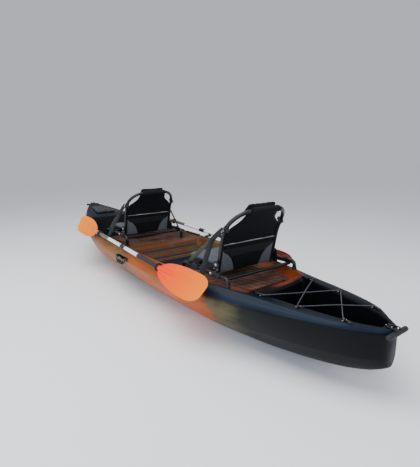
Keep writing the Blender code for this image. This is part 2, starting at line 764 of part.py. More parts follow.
def add_drain_plug(deck):
    """A screwed plug on the foredeck with a bar to turn it by."""
    frame = deck.frame(along(PLUG_X), 0.0)
    pivot = add_pivot("drain_plug_pivot", frame)
    profile = [(0, GAP), (PLUG_RADIUS, GAP), (PLUG_RADIUS, 0.003), (PLUG_RADIUS - 0.003, 0.0045),
               (0.010, 0.0045), (0.010, 0.007), (0, 0.007)]
    plug = add_object("drain_plug", turned_mesh(profile, 20), "black_plastic", parent=pivot)
    joined(plug, box_mesh((0.026, 0.006, 0.010), (0, 0, 0.009), 0.001))


# ---------------------------------------------------------------- bow hatch
def hatch_hinge_x():
    return along(HATCH_OPENING[1] + HATCH_HINGE_GAP)


def hatch_length():
    """From the hinge to the aft end of the lid, past the opening by the aft land."""
    return hatch_hinge_x() - along(HATCH_OPENING[0]) + HATCH_AFT_LAND


def hatch_outline(inset):
    """The lid's rounded outline, its hinge end at x = 0 and running aft past the opening."""
    (_, aft_opening), (_, fore_opening) = HATCH_OPENING_HALF
    fore, aft = -HATCH_LID_SETBACK - inset, inset - hatch_length()
    aft_half = across(aft_opening) + HATCH_AFT_SIDE_LAND - inset
    fore_half = across(fore_opening) + HATCH_FORE_SIDE_LAND - inset
    corners = [(fore, fore_half, 0), (fore, -fore_half, 0), (aft, -aft_half, 0), (aft, aft_half, 0)]
    return flat(rounded_path(corners, HATCH_CORNER - inset, 5, closed=True))


def add_bow_hatch(deck):
    frame = deck.frame(hatch_hinge_x(), 0.0)
    root = add_pivot("bow_hatch_frame", frame)
    gasket = ring_mesh(*(hatch_outline(inset) for inset in GASKET_INSETS), GASKET_THICK)
    add_object("hatch_gasket", gasket, "rubber", parent=root, place=shift(0, 0, GAP))
    axis_z = HATCH_PIN_RISE
    knuckle = turned_mesh([(0, -0.045), (HATCH_KNUCKLE, -0.045), (HATCH_KNUCKLE, 0.045), (0, 0.045)], 12)
    moved(knuckle, shift(0, 0, axis_z) @ Matrix.Rotation(math.radians(90), 4, "X"))
    hinge = add_object("hatch_hinge", knuckle, "black_plastic", parent=root)
    joined(hinge, box_mesh((0.026, 0.096, 0.009), (0.014, 0, 0.0055), 0.001))
    pivot = add_pivot("hatch_lid_pivot", shift(0, 0, axis_z), parent=root)
    bottom = GASKET_THICK + 2 * GAP - axis_z
    add_object("hatch_lid", plate_mesh(hatch_outline(0.0), HATCH_THICK, 0.005), "black_plastic",
               parent=pivot, place=shift(0, 0, bottom))
    radius = LATCH_RADIUS
    profile = [(0, GAP), (radius, GAP), (radius, 0.004), (radius - 0.004, LATCH_THICK), (0, LATCH_THICK)]
    place = shift(LATCH_SETBACK - hatch_length(), 0, bottom + HATCH_THICK)
    latch = add_object("hatch_latch", turned_mesh(profile, 20), "black_plastic", parent=pivot, place=place)
    joined(latch, box_mesh((1.8 * radius, 0.009, 0.012), (0, 0, LATCH_THICK + 0.004), 0.002))


# ---------------------------------------------------------------- seats
def add_seat_base(prefix, x, deck):
    """Two bent side rails that stand on the deck, with two cross tubes welded between them."""
    back, front = x - SEAT_LEG_BACK, x + SEAT_LEG_FRONT
    rails = []
    for side in (1, -1):
        y = side * SEAT_RAIL_Y
        feet = [deck.under(leg - SEAT_TUBE, leg + SEAT_TUBE, y - SEAT_TUBE, y + SEAT_TUBE) + SEAT_GAP
                for leg in (back, front)]
        path = [(back, y, feet[0]), (back, y, SEAT_RAIL_Z), (front, y, SEAT_RAIL_Z), (front, y, feet[1])]
        rails.append(tube_mesh(rounded_path(path, SEAT_CORNER, 4), SEAT_TUBE))
    base = add_object(f"{prefix}_seat_base", rails[0], "black_tube")
    cross = []
    for offset in SEAT_CROSS_AT:
        ends = [(x + offset, end * SEAT_RAIL_Y, SEAT_RAIL_Z - SEAT_CROSS_DROP) for end in (1, -1)]
        cross.append(tube_mesh(ends, SEAT_CROSS_TUBE))
    joined(base, *cross, rails[1])


def add_seat_bracket(prefix, x, side, name):
    """The plate between rail and back hoop that carries the hinge pin."""
    face = BACK_HALF_WIDTH + SEAT_TUBE + BRACKET_REACH
    thick = BRACKET_THICK
    drop = BACK_HINGE_RISE
    half = BRACKET_HALF
    outline = ([(-half, -drop - 0.020), (half, -drop - 0.020), (half, 0.0)] + arc((0, 0), half, 18, 162, 6)
               + [(-half, 0.0)])
    plate = plate_mesh(outline, thick)
    moved(plate, shift(0, thick) @ Matrix.Rotation(math.radians(90), 4, "X"))
    item = add_object(f"{prefix}_seat_bracket_{name}", plate, "black_plastic",
                      place=shift(x, side * face + (0 if side > 0 else -thick), BACK_HINGE_Z))
    lean = Matrix.Rotation(math.radians(90), 4, "X")
    inward = -side
    start = 0.0 if side > 0 else thick
    pin_length = BRACKET_REACH - GAP
    middle = start + inward * pin_length / 2 - inward * 0.001
    half = pin_length / 2 + 0.001
    pin = turned_mesh([(0, -half), (BRACKET_PIN, -half), (BRACKET_PIN, half), (0, half)], 12)
    moved(pin, shift(0, middle, 0) @ lean)
    boss_length = BRACKET_BOSS - GAP
    half = boss_length / 2 + 0.001
    boss = turned_mesh([(0, -half), (0.009, -half), (0.009, half), (0, half)], 12)
    outer_start = thick if side > 0 else 0.0
    moved(boss, shift(0, outer_start + side * (boss_length / 2 - 0.001), -drop) @ lean)
    joined(item, pin, boss)


def bent_back(z):
    """How far the upper back curves aft at a height above its hinge."""
    return -BACK_BEND * max(0.0, z - BACK_BEND_START) ** 2


def bend_panel(mesh):
    """Cuts a flat panel into bands and curves it with the hoop."""
    shape = bmesh.new()
    shape.from_mesh(mesh)
    low = max(BACK_BEND_START, min(vert.co.z for vert in shape.verts))
    for step in range(7):
        level = low + (BACK_HEIGHT - low) * step / 7 + 0.001
        bmesh.ops.bisect_plane(shape, geom=shape.verts[:] + shape.edges[:] + shape.faces[:],
                               plane_co=(0, 0, level), plane_no=(0, 0, 1), dist=1e-6)
    for vert in shape.verts:
        vert.co.x += bent_back(vert.co.z)
    return to_mesh(mesh.name, shape)


def back_opening(radius_gap, low, high):
    """Outline in Y and Z of the space inside the back hoop between two heights."""
    radius = BACK_SHOULDER - SEAT_TUBE - radius_gap
    middle = (BACK_HALF_WIDTH - BACK_SHOULDER, BACK_HEIGHT - BACK_SHOULDER)
    side = middle[0] + radius
    if high <= middle[1]:
        return [(side, low), (side, high), (-side, high), (-side, low)]
    right = arc(middle, radius, 0, 90, SHOULDER_STEPS)
    left = [(-y, z) for y, z in reversed(right)]
    return [(side, low)] + right + left + [(-side, low)]


def headrest_place():
    """In front of the top of the hoop, square to the curve of the back there."""
    level = BACK_HEIGHT - HEADREST_SIZE[2] * 0.22
    slope = math.atan(2 * BACK_BEND * (level - BACK_BEND_START))
    turn = Matrix.Rotation(-slope, 4, "Y")
    stand_off = SEAT_TUBE + HEADREST_GAP + HEADREST_SIZE[0] / 2
    return shift(bent_back(level), 0, level) @ turn @ shift(stand_off, 0, 0)


def add_seat_back(prefix, x):
    """The folding back: a bent hoop, a fabric panel, a mesh panel and a headrest."""
    lean = Matrix.Rotation(-BACK_LEAN, 4, "Y")
    pivot = add_pivot(f"{prefix}_seat_back_pivot", shift(x, 0, BACK_HINGE_Z) @ lean)
    middle_y = BACK_HALF_WIDTH - BACK_SHOULDER
    middle_z = BACK_HEIGHT - BACK_SHOULDER
    rise = [(BACK_HALF_WIDTH, BACK_BEND_START + (middle_z - BACK_BEND_START) * step / 3) for step in range(3)]
    half = [(BACK_HALF_WIDTH, -BACK_TAIL)] + rise
    half += arc((middle_y, middle_z), BACK_SHOULDER, 0, 90, SHOULDER_STEPS)
    path = [(bent_back(z), y, z) for y, z in half] + [(bent_back(z), -y, z) for y, z in reversed(half)]
    add_object(f"{prefix}_seat_back_hoop", tube_curve(path, SEAT_TUBE), "black_tube", parent=pivot)
    stand = Matrix(((0, 0, 1, -PANEL_THICK / 2), (1, 0, 0, 0), (0, 1, 0, 0), (0, 0, 0, 1)))
    for name, low, high, look in (("mesh", -BACK_TAIL, BACK_SEAM, "seat_mesh"),
                                  ("panel", BACK_SEAM + GAP, BACK_HEIGHT, "seat_fabric")):
        panel = bend_panel(moved(plate_mesh(back_opening(PANEL_GAP, low, high), PANEL_THICK), stand))
        add_object(f"{prefix}_seat_back_{name}", panel, look, parent=pivot)
    pad = box_mesh(HEADREST_SIZE, bevel=PAD_EDGE, segments=2)
    add_object(f"{prefix}_seat_headrest", pad, "seat_fabric", parent=pivot, place=headrest_place())


def add_seat_cushion(prefix, x):
    bottom = SEAT_RAIL_Z - SEAT_CROSS_DROP + SEAT_CROSS_TUBE + SEAT_GAP
    width = 2 * (BACK_HALF_WIDTH - SEAT_TUBE - CUSHION_SIDE_GAP)
    pad = box_mesh((CUSHION_LENGTH, width, CUSHION_THICK), bevel=PAD_EDGE, segments=2)
    add_object(f"{prefix}_seat_cushion", pad, "cushion_fabric",
               place=shift(x + CUSHION_START + CUSHION_LENGTH / 2, 0, bottom + CUSHION_THICK / 2))


def strap_solid(top, first, second):
    """A forked strap: two ribbons that leave one point, as one flat solid."""
    half = STRAP_WIDTH / 2
    one = (first - top).normalized()
    two = (second - top).normalized()
    normal = one.cross(two).normalized()
    side_one = normal.cross(one)
    side_two = normal.cross(two)
    bisector = (one + two).normalized()
    fork = top + bisector * (half / math.sin(one.angle(two) / 2))
    outline = [top - side_one * half, first - side_one * half, first + side_one * half, fork,
               second - side_two * half, second + side_two * half, top + side_two * half]
    shape = bmesh.new()
    face = shape.faces.new([shape.verts.new(point - normal * STRAP_THICK / 2) for point in outline])
    raised = bmesh.ops.extrude_face_region(shape, geom=[face])
    upper = [item for item in raised["geom"] if isinstance(item, bmesh.types.BMVert)]
    bmesh.ops.translate(shape, vec=normal * STRAP_THICK, verts=upper)
    return to_mesh("strap", shape, smooth=False)


def add_seat_strap(prefix, x, side, name, deck):
    """A strap from the shoulder of the back down to the rim and to the side rail."""
    foot_x = x + STRAP_FOOT_AT
    foot_y = side * max(rim_middle(foot_x), SEAT_RAIL_Y + SEAT_TUBE + STRAP_FOOT_OUT)
    foot_z = deck.under(foot_x - STRAP_WIDTH, foot_x + STRAP_WIDTH, foot_y - 0.008, foot_y + 0.008)
    lean = Matrix.Rotation(-BACK_LEAN, 3, "Y")
    shoulder = Vector((bent_back(STRAP_LEVEL), side * (BACK_HALF_WIDTH + SEAT_TUBE + 0.006), STRAP_LEVEL))
    top = Vector((x, 0, BACK_HINGE_Z)) + lean @ shoulder
    foot = Vector((foot_x, foot_y, foot_z + 0.014))
    rail_top = Vector((x + STRAP_RAIL_AT, side * (SEAT_RAIL_Y + 0.004), SEAT_RAIL_Z + SEAT_TUBE + 0.009))
    add_object(f"{prefix}_seat_strap_{name}", strap_solid(top, foot, rail_top), "webbing")


def add_seat(prefix, hinge, deck):
    x = along(hinge)
    add_seat_base(prefix, x, deck)
    add_seat_cushion(prefix, x)
    add_seat_back(prefix, x)
    for side, name in ((1, "port"), (-1, "starboard")):
        add_seat_bracket(prefix, x, side, name)
        add_seat_strap(prefix, x, side, name, deck)


# ---------------------------------------------------------------- paddles
def blade_half_width(t):
    """Half-width of the blade at a share t of its length from the neck."""
    widest = 0.72
    swell = math.sin(math.pi / 2 * min(t, widest) / widest) ** 1.15
    close = math.sqrt(max(0.0, 1 - (max(0.0, t - widest) / 0.285) ** 2))
    return BLADE_NECK + (BLADE_WIDTH / 2 - BLADE_NECK) * swell * close


def blade_mesh():
    """A spooned blade that runs along +X from its neck, its hollow side up."""
    shape = bmesh.new()
    rows = []
    for t in (0.0, 0.08, 0.18, 0.30, 0.44, 0.58, 0.70, 0.80, 0.88, 0.94, 0.98):
        half = blade_half_width(t)
        row = []
        for s in (-1, -0.55, 0, 0.55, 1):
            spoon = 0.016 * math.sin(math.pi * t) ** 2 - 0.010 * t
            dish = 0.055 * half * s * s
            row.append(shape.verts.new((t * BLADE_LENGTH, half * s, -spoon + dish)))
        rows.append(row)
    for first, second in zip(rows, rows[1:]):
        for i in range(len(first) - 1):
            shape.faces.new((first[i], second[i], second[i + 1], first[i + 1]))
    bmesh.ops.recalc_face_normals(shape, faces=shape.faces)
    bmesh.ops.solidify(shape, geom=list(shape.faces), thickness=BLADE_THICK)
    return to_mesh("blade", shape)


def add_paddle(side, name):
    """A two-piece paddle along the side of the boat: its aft half and its turning fore half."""
    x = along(PADDLE_CENTRE_X[side])
    y = side * paddle_y()
    slope = math.atan(PADDLE_RISE)
    frame = shift(x, y, paddle_height(x)) @ Matrix.Rotation(-slope, 4, "Y")
    root = add_pivot(f"{name}_paddle_frame", frame)
    along_shaft = Matrix.Rotation(math.radians(90), 4, "Y")
    inside = PADDLE_SHAFT - PADDLE_WALL
    tube = [(0, -PADDLE_HALF), (PADDLE_SHAFT, -PADDLE_HALF), (PADDLE_SHAFT, -GAP / 2),
            (inside + GAP, -GAP / 2), (inside + GAP, -PADDLE_SPIGOT - GAP), (0, -PADDLE_SPIGOT - GAP)]
    aft_shaft = moved(turned_mesh(tube, 14), along_shaft)
    add_object(f"{name}_paddle_aft_shaft", aft_shaft, "shaft_white", parent=root)
    turning = add_pivot(f"{name}_paddle_feather_pivot", Matrix.Identity(4), parent=root)
    spigot = [(0, -PADDLE_SPIGOT), (inside, -PADDLE_SPIGOT), (inside, GAP / 2), (PADDLE_SHAFT, GAP / 2),
              (PADDLE_SHAFT, PADDLE_HALF), (0, PADDLE_HALF)]
    fore_shaft = moved(turned_mesh(spigot, 14), along_shaft)
    add_object(f"{name}_paddle_fore_shaft", fore_shaft, "shaft_white", parent=turning)
    fore = shift(PADDLE_HALF + GAP) @ Matrix.Rotation(-side * FORE_BLADE_TILT, 4, "X")
    add_object(f"{name}_paddle_fore_blade", blade_mesh(), "paddle_plastic", parent=turning, place=fore)
    aft = (shift(-PADDLE_HALF - GAP) @ Matrix.Rotation(math.pi, 4, "Z")
           @ Matrix.Rotation(side * AFT_BLADE_TILT, 4, "X"))
    add_object(f"{name}_paddle_aft_blade", blade_mesh(), "paddle_plastic", parent=root, place=aft)


# ---------------------------------------------------------------- the boat
def build():
    start_clean()
    _, skin = add_hull()
    deck = Deck(skin)
    add_seat_mats(deck)
    add_tank_well_cords(deck)
    add_drain_plug(deck)
    add_bow_hatch(deck)
    add_end_handle(-1, "stern", deck)
    add_end_handle(1, "bow", deck)
    for side, name in ((1, "port"), (-1, "starboard")):
        add_side_handle(side, name)
        add_paddle_keeper(side, name, deck)
        add_gear_track(side, name, deck)
        add_paddle(side, name)
    for prefix, hinge in SEAT_HINGES:
        add_seat(prefix, hinge, deck)


build()
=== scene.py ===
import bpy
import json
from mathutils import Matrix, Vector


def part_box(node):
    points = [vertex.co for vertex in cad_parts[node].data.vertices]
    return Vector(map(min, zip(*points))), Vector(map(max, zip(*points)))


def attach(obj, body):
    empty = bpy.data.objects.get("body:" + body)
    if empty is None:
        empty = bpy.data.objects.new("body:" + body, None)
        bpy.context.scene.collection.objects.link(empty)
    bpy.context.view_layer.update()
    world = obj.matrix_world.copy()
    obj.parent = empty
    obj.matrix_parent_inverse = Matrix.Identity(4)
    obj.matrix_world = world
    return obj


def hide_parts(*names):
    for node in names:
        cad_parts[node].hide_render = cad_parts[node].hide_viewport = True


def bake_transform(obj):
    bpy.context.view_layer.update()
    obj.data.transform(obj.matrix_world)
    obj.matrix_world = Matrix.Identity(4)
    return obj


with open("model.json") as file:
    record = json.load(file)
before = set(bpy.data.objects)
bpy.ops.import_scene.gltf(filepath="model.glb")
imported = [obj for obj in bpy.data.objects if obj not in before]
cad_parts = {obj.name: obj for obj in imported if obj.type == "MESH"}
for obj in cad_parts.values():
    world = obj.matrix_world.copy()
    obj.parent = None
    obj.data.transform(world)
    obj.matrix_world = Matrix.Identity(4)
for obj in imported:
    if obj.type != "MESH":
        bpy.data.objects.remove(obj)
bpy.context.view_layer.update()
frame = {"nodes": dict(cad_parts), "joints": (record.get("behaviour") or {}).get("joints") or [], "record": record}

import json
import math

import bmesh
import bpy
from mathutils import Matrix, Vector
from mathutils.bvhtree import BVHTree

# Tandem sit-on-top kayak: +X to the bow, +Y to port, +Z up, metres.
sides = {"port": 1, "starboard": -1}
joints = {joint["name"]: joint for joint in frame["joints"]}
nodes = frame["nodes"]

# ---- camera, floor and light

view = {"place": (-2.6472, 1.4373, 1.0617), "heading": -0.6224, "pitch": -0.2101, "roll": -0.0128,
        "lens": 27.12}
studio = {
    "floor": "#FFFFFF", "floorHalf": 60, "floorDrop": 0.001, "sky": "#EEF3FF", "skyStrength": 0.62,
    # area lights: place, the point they face, width and height, watts, tint
    "lights": {"overhead": ((-0.4, 1.2, 3.6), (0, 0, 0.2), (4.5, 2.6), 150, "#FFFFFF"),
               "skySide": ((-2.2, 4.2, 2.2), (-0.6, 0, 0.3), (4.0, 2.0), 120, "#DCE8FF"),
               "sternSide": ((-4.6, -1.5, 2.0), (-1.0, 0, 0.3), (2.0, 1.6), 30, "#FFF6EA")},
}


def hexColour(text):
    # sRGB hex to the linear values that the shaders use
    parts = [int(text[i:i + 2], 16) / 255 for i in (1, 3, 5)]
    return (*(c / 12.92 if c <= 0.04045 else ((c + 0.055) / 1.055) ** 2.4 for c in parts), 1.0)


def joinNodes(tree, node, links):
    # a linked node gives the first of its outputs that is in use
    for name, source in dict(links).items():
        if isinstance(source, bpy.types.Node):
            source = next(socket for socket in source.outputs if socket.enabled)
        tree.links.new(source, node.inputs[name])


def addNode(tree, kind, settings=(), links=()):
    # a shader node with its settings, a ramp's stops, its sockets' values and its links
    node = tree.nodes.new("ShaderNode" + kind)
    for name, value in dict(settings).items():
        if name == "stops":
            points = node.color_ramp.elements
            while len(points) < len(value):
                points.new(0.5)
            for point, (place, shade) in zip(points, value):
                point.position, point.color = place, hexColour(shade)
        elif isinstance(name, str) and hasattr(node, name):
            setattr(node, name, value)
        else:
            shade = isinstance(value, str) and value.startswith("#")
            node.inputs[name].default_value = hexColour(value) if shade else value
    joinNodes(tree, node, links)
    return node


def addCamera():
    yaw, pitch, roll = view["heading"], view["pitch"], view["roll"]
    ahead = Vector((math.cos(pitch) * math.cos(yaw), math.cos(pitch) * math.sin(yaw), math.sin(pitch)))
    level = ahead.cross(Vector((0, 0, 1))).normalized()
    upright = level.cross(ahead)
    right = level * math.cos(roll) + upright * math.sin(roll)
    top = upright * math.cos(roll) - level * math.sin(roll)
    data = bpy.data.cameras.new("camera")
    data.lens = view["lens"]
    camera = bpy.data.objects.new("camera", data)
    turn = Matrix((right, top, -ahead)).transposed().to_4x4()
    camera.matrix_world = Matrix.Translation(view["place"]) @ turn
    bpy.context.scene.collection.objects.link(camera)
    bpy.context.scene.camera = camera


def addLight(name, place, target, size, power, tint):
    data = bpy.data.lights.new(name, "AREA")
    data.shape = "RECTANGLE"
    data.size, data.size_y = size
    data.energy = power
    data.color = hexColour(tint)[:3]
    lamp = bpy.data.objects.new(name, data)
    lamp.location = place
    lamp.rotation_euler = (Vector(target) - Vector(place)).to_track_quat("-Z", "Y").to_euler()
    bpy.context.scene.collection.objects.link(lamp)


def addStudio():
    world = bpy.data.worlds.new("studio")
    world.use_nodes = True
    background = world.node_tree.nodes["Background"]
    background.inputs["Color"].default_value = hexColour(studio["sky"])
    background.inputs["Strength"].default_value = studio["skyStrength"]
    bpy.context.scene.world = world
    for name, light in studio["lights"].items():
        addLight(name, *light)
    shape = bmesh.new()
    bmesh.ops.create_grid(shape, x_segments=1, y_segments=1, size=studio["floorHalf"])
    mesh = bpy.data.meshes.new("floor")
    shape.to_mesh(mesh)
    shape.free()
    floor = bpy.data.objects.new("floor", mesh)
    floor.location.z = -studio["floorDrop"]
    bpy.context.scene.collection.objects.link(floor)
    paint = bpy.data.materials.new("paper")  # plain matt backdrop paper
    paint.use_nodes = True
    shader = paint.node_tree.nodes["Principled BSDF"]
    shader.inputs["Base Color"].default_value = hexColour(studio["floor"])
    shader.inputs["Roughness"].default_value = 0.9
    mesh.materials.append(paint)


addCamera()
addStudio()
print("camera and studio ready")

# ---- small tools

mergeGap = 1e-6  # points nearer than this are one
looseGap = 1e-5  # the same, where parts only nearly meet


def addPiece(name, shape, material, body, replaces=(), smooth=40):
    # a bmesh becomes a piece that rides on a CAD body; edges over the smooth angle stay sharp
    mesh = bpy.data.meshes.new(name)
    shape.to_mesh(mesh)
    shape.free()
    mesh.shade_smooth()
    if smooth:
        mesh.set_sharp_from_angle(angle=math.radians(smooth))
    mesh.materials.append(material)
    piece = bpy.data.objects.new(name, mesh)
    bpy.context.scene.collection.objects.link(piece)
    if body:
        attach(piece, body)
    if replaces:
        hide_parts(*replaces)
    return piece


def moved(shape, turn):
    bmesh.ops.transform(shape, matrix=turn, verts=shape.verts)
    return shape


def mergeShapes(first, *others):
    # adds the faces of other bmeshes to the first one
    for other in others:
        spare = bpy.data.meshes.new("spare")
        other.to_mesh(spare)
        other.free()
        first.from_mesh(spare)
        bpy.data.meshes.remove(spare)
    return first


def roundedBox(size, centre=(0, 0, 0), bevel=0.001, segments=2):
    shape = bmesh.new()
    bmesh.ops.create_cube(shape, size=1.0)
    bmesh.ops.scale(shape, vec=size, verts=shape.verts)
    bmesh.ops.bevel(shape, geom=list(shape.edges), offset=bevel, segments=segments, profile=0.5,
                    affect="EDGES", material=-1, clamp_overlap=True)
    bmesh.ops.translate(shape, vec=centre, verts=shape.verts)
    return shape


def turned(profile, steps=32, axis="Z", centre=(0, 0, 0)):
    # a profile of (radius, height) spun round an axis; it starts and ends on that axis or closes on itself
    shape = bmesh.new()
    verts = [shape.verts.new((radius, 0, level)) for radius, level in profile]
    edges = [shape.edges.new(pair) for pair in zip(verts, verts[1:])]
    if profile[0][0] > mergeGap:
        edges.append(shape.edges.new((verts[-1], verts[0])))
    bmesh.ops.spin(shape, geom=verts + edges, cent=(0, 0, 0), axis=(0, 0, 1), angle=math.tau, steps=steps,
                   use_merge=True)
    turn = {"Z": Matrix.Identity(4), "X": Matrix.Rotation(math.pi / 2, 4, "Y"),
            "Y": Matrix.Rotation(math.pi / 2, 4, "X")}[axis]
    bmesh.ops.remove_doubles(shape, verts=shape.verts, dist=mergeGap)
    bmesh.ops.recalc_face_normals(shape, faces=shape.faces)
    return moved(shape, Matrix.Translation(centre) @ turn)


def roundedPath(points, radius, steps=6, closed=False):
    # each corner of a path becomes a smooth bend
    points = [Vector(point) for point in points]
    result = []
    for i, corner in enumerate(points):
        if not closed and i in (0, len(points) - 1):
            result.append(corner)
            continue
        before, after = points[i - 1] - corner, points[(i + 1) % len(points)] - corner
        reach = min(radius, before.length * 0.49, after.length * 0.49)
        first, last = corner + before.normalized() * reach, corner + after.normalized() * reach
        for step in range(steps + 1):
            t = step / steps
            result.append(first * (1 - t) ** 2 + corner * 2 * t * (1 - t) + last * t ** 2)
    return result


def circle(radius, count=16):
    angles = [math.tau * i / count for i in range(count)]
    return [(radius * math.cos(angle), radius * math.sin(angle)) for angle in angles]


def sweep(path, section, up=(0, 0, 1), scales=None):
    # extrudes a closed section, given in side and up, along a path; "run" keeps the metres along it
    path = [Vector(point) for point in path]
    shape = bmesh.new()
    run = shape.verts.layers.float.new("run")
    frames, side, travelled = [], None, 0.0
    for i, point in enumerate(path):
        tangent = (path[min(i + 1, len(path) - 1)] - path[max(i - 1, 0)]).normalized()
        if side is None:
            side = tangent.cross(Vector(up))
            side = side if side.length > 0.01 else tangent.orthogonal()
        side = (side - tangent * side.dot(tangent)).normalized()
        turn = Matrix((side, side.cross(tangent), tangent)).transposed().to_4x4()
        size = scales[i] if scales else 1.0
        frames.append(Matrix.Translation(point) @ turn @ Matrix.Diagonal((size, size, 1, 1)))
    verts = [shape.verts.new(frames[0] @ Vector((x, y, 0))) for x, y in section]
    edges = [shape.edges.new((verts[i - 1], verts[i])) for i in range(len(verts))]
    start = list(edges)
    for i in range(1, len(path)):
        made = bmesh.ops.extrude_edge_only(shape, edges=edges)["geom"]
        verts = [item for item in made if isinstance(item, bmesh.types.BMVert)]
        edges = [item for item in made if isinstance(item, bmesh.types.BMEdge)
                 and all(vert in verts for vert in item.verts)]
        travelled += (path[i] - path[i - 1]).length
        for vert in verts:
            vert[run] = travelled
        bmesh.ops.transform(shape, matrix=frames[i] @ frames[i - 1].inverted(), verts=verts)
    for ring in (start, edges):
        bmesh.ops.contextual_create(shape, geom=ring)
    bmesh.ops.recalc_face_normals(shape, faces=shape.faces)
    return shape


def tube(path, radius, count=16, bend=0.0, steps=6):
    return sweep(roundedPath(path, bend, steps) if bend else path, circle(radius, count))


def ribbon(width, thick):
    # flat webbing with thinner edges
    half, edge = width / 2, thick / 2
    return [(half, -edge * 0.4), (half, edge * 0.4), (half - edge, edge), (edge - half, edge),
            (-half, edge * 0.4), (-half, -edge * 0.4), (edge - half, -edge), (half - edge, -edge)]


def ease(points, x):
    # smooth line without overshoot through (x, value) points
    if x <= points[0][0]:
        return points[0][1]
    if x >= points[-1][0]:
        return points[-1][1]
    slopes = [(b[1] - a[1]) / (b[0] - a[0]) for a, b in zip(points, points[1:])]
    k = max(i for i in range(len(slopes)) if points[i][0] <= x)

    def tangent(i):
        if i in (0, len(slopes)):
            return slopes[min(i, len(slopes) - 1)]
        before, after = slopes[i - 1], slopes[i]
        return 2 * before * after / (before + after) if before * after > 0 else 0.0

    step = points[k + 1][0] - points[k][0]
    t = (x - points[k][0]) / step
    return ((1 + 2 * t) * (1 - t) ** 2 * points[k][1] + t * (1 - t) ** 2 * step * tangent(k)
            + t * t * (3 - 2 * t) * points[k + 1][1] - t * t * (1 - t) * step * tangent(k + 1))


def bump(t, width):
    # 1 at t = 0, falling smoothly to 0 at its width
    return max(0.0, 1 - (t / width) ** 2) ** 2


# ---- materials


def newMaterial(name, settings):
    # a Principled material, and what its patterns need: its tree, its shader and the object's own metres
    made = bpy.data.materials.new(name)
    made.use_nodes = True
    tree = made.node_tree
    shader = tree.nodes["Principled BSDF"]
    for socket, value in settings.items():
        shader.inputs[socket].default_value = value
    return made, tree, shader, addNode(tree, "TexCoord").outputs["Object"]


# Rotomoulded HDPE: powders of several colours melt into each other, with a satin, faintly pebbled skin.
hullBlend = {
    # along the boat, -2 m to +2 m as 0 to 1
    "main": [(0.0, "#06090A"), (0.115, "#0B0F10"), (0.165, "#1B1D18"), (0.205, "#5A5538"), (0.236, "#5E5536"),
             (0.243, "#A4501F"), (0.30, "#C05A1E"), (0.42, "#A8521F"), (0.52, "#7C5A33"), (0.64, "#B05A1C"),
             (0.76, "#6E5A33"), (0.88, "#86582C"), (1.0, "#4C452C")],
    "blotch": [(0.0, "#050708"), (0.2, "#0A0D0E"), (0.24, "#26231C"), (0.26, "#8A4A20"), (0.45, "#57502F"),
               (0.62, "#4C4829"), (0.85, "#4C462A"), (1.0, "#26251B")],
    "deck": [(0.0, "#040608"), (0.165, "#05080B"), (0.172, "#3A1A0C"), (0.18, "#6E3016"), (0.20, "#7E3816"),
             (0.30, "#5E3820"), (0.34, "#A04A1E"), (0.42, "#7A4224"), (0.47, "#5C3620"), (0.56, "#523420"),
             (0.80, "#5A3E22"), (0.83, "#0B0E12"), (1.0, "#05080B")],
    # floor: dark plastic with painted shade and a painted sky reflection in the deep wells, also painted on the
    # step treads as shade in the step creases
    # shoulder: painted reflection of the blue sky on the glossy black hull sides aft
    "floor": "#1A242F", "stern": "#06090D", "shoulder": "#14202E", "bow": "#070D15",
}


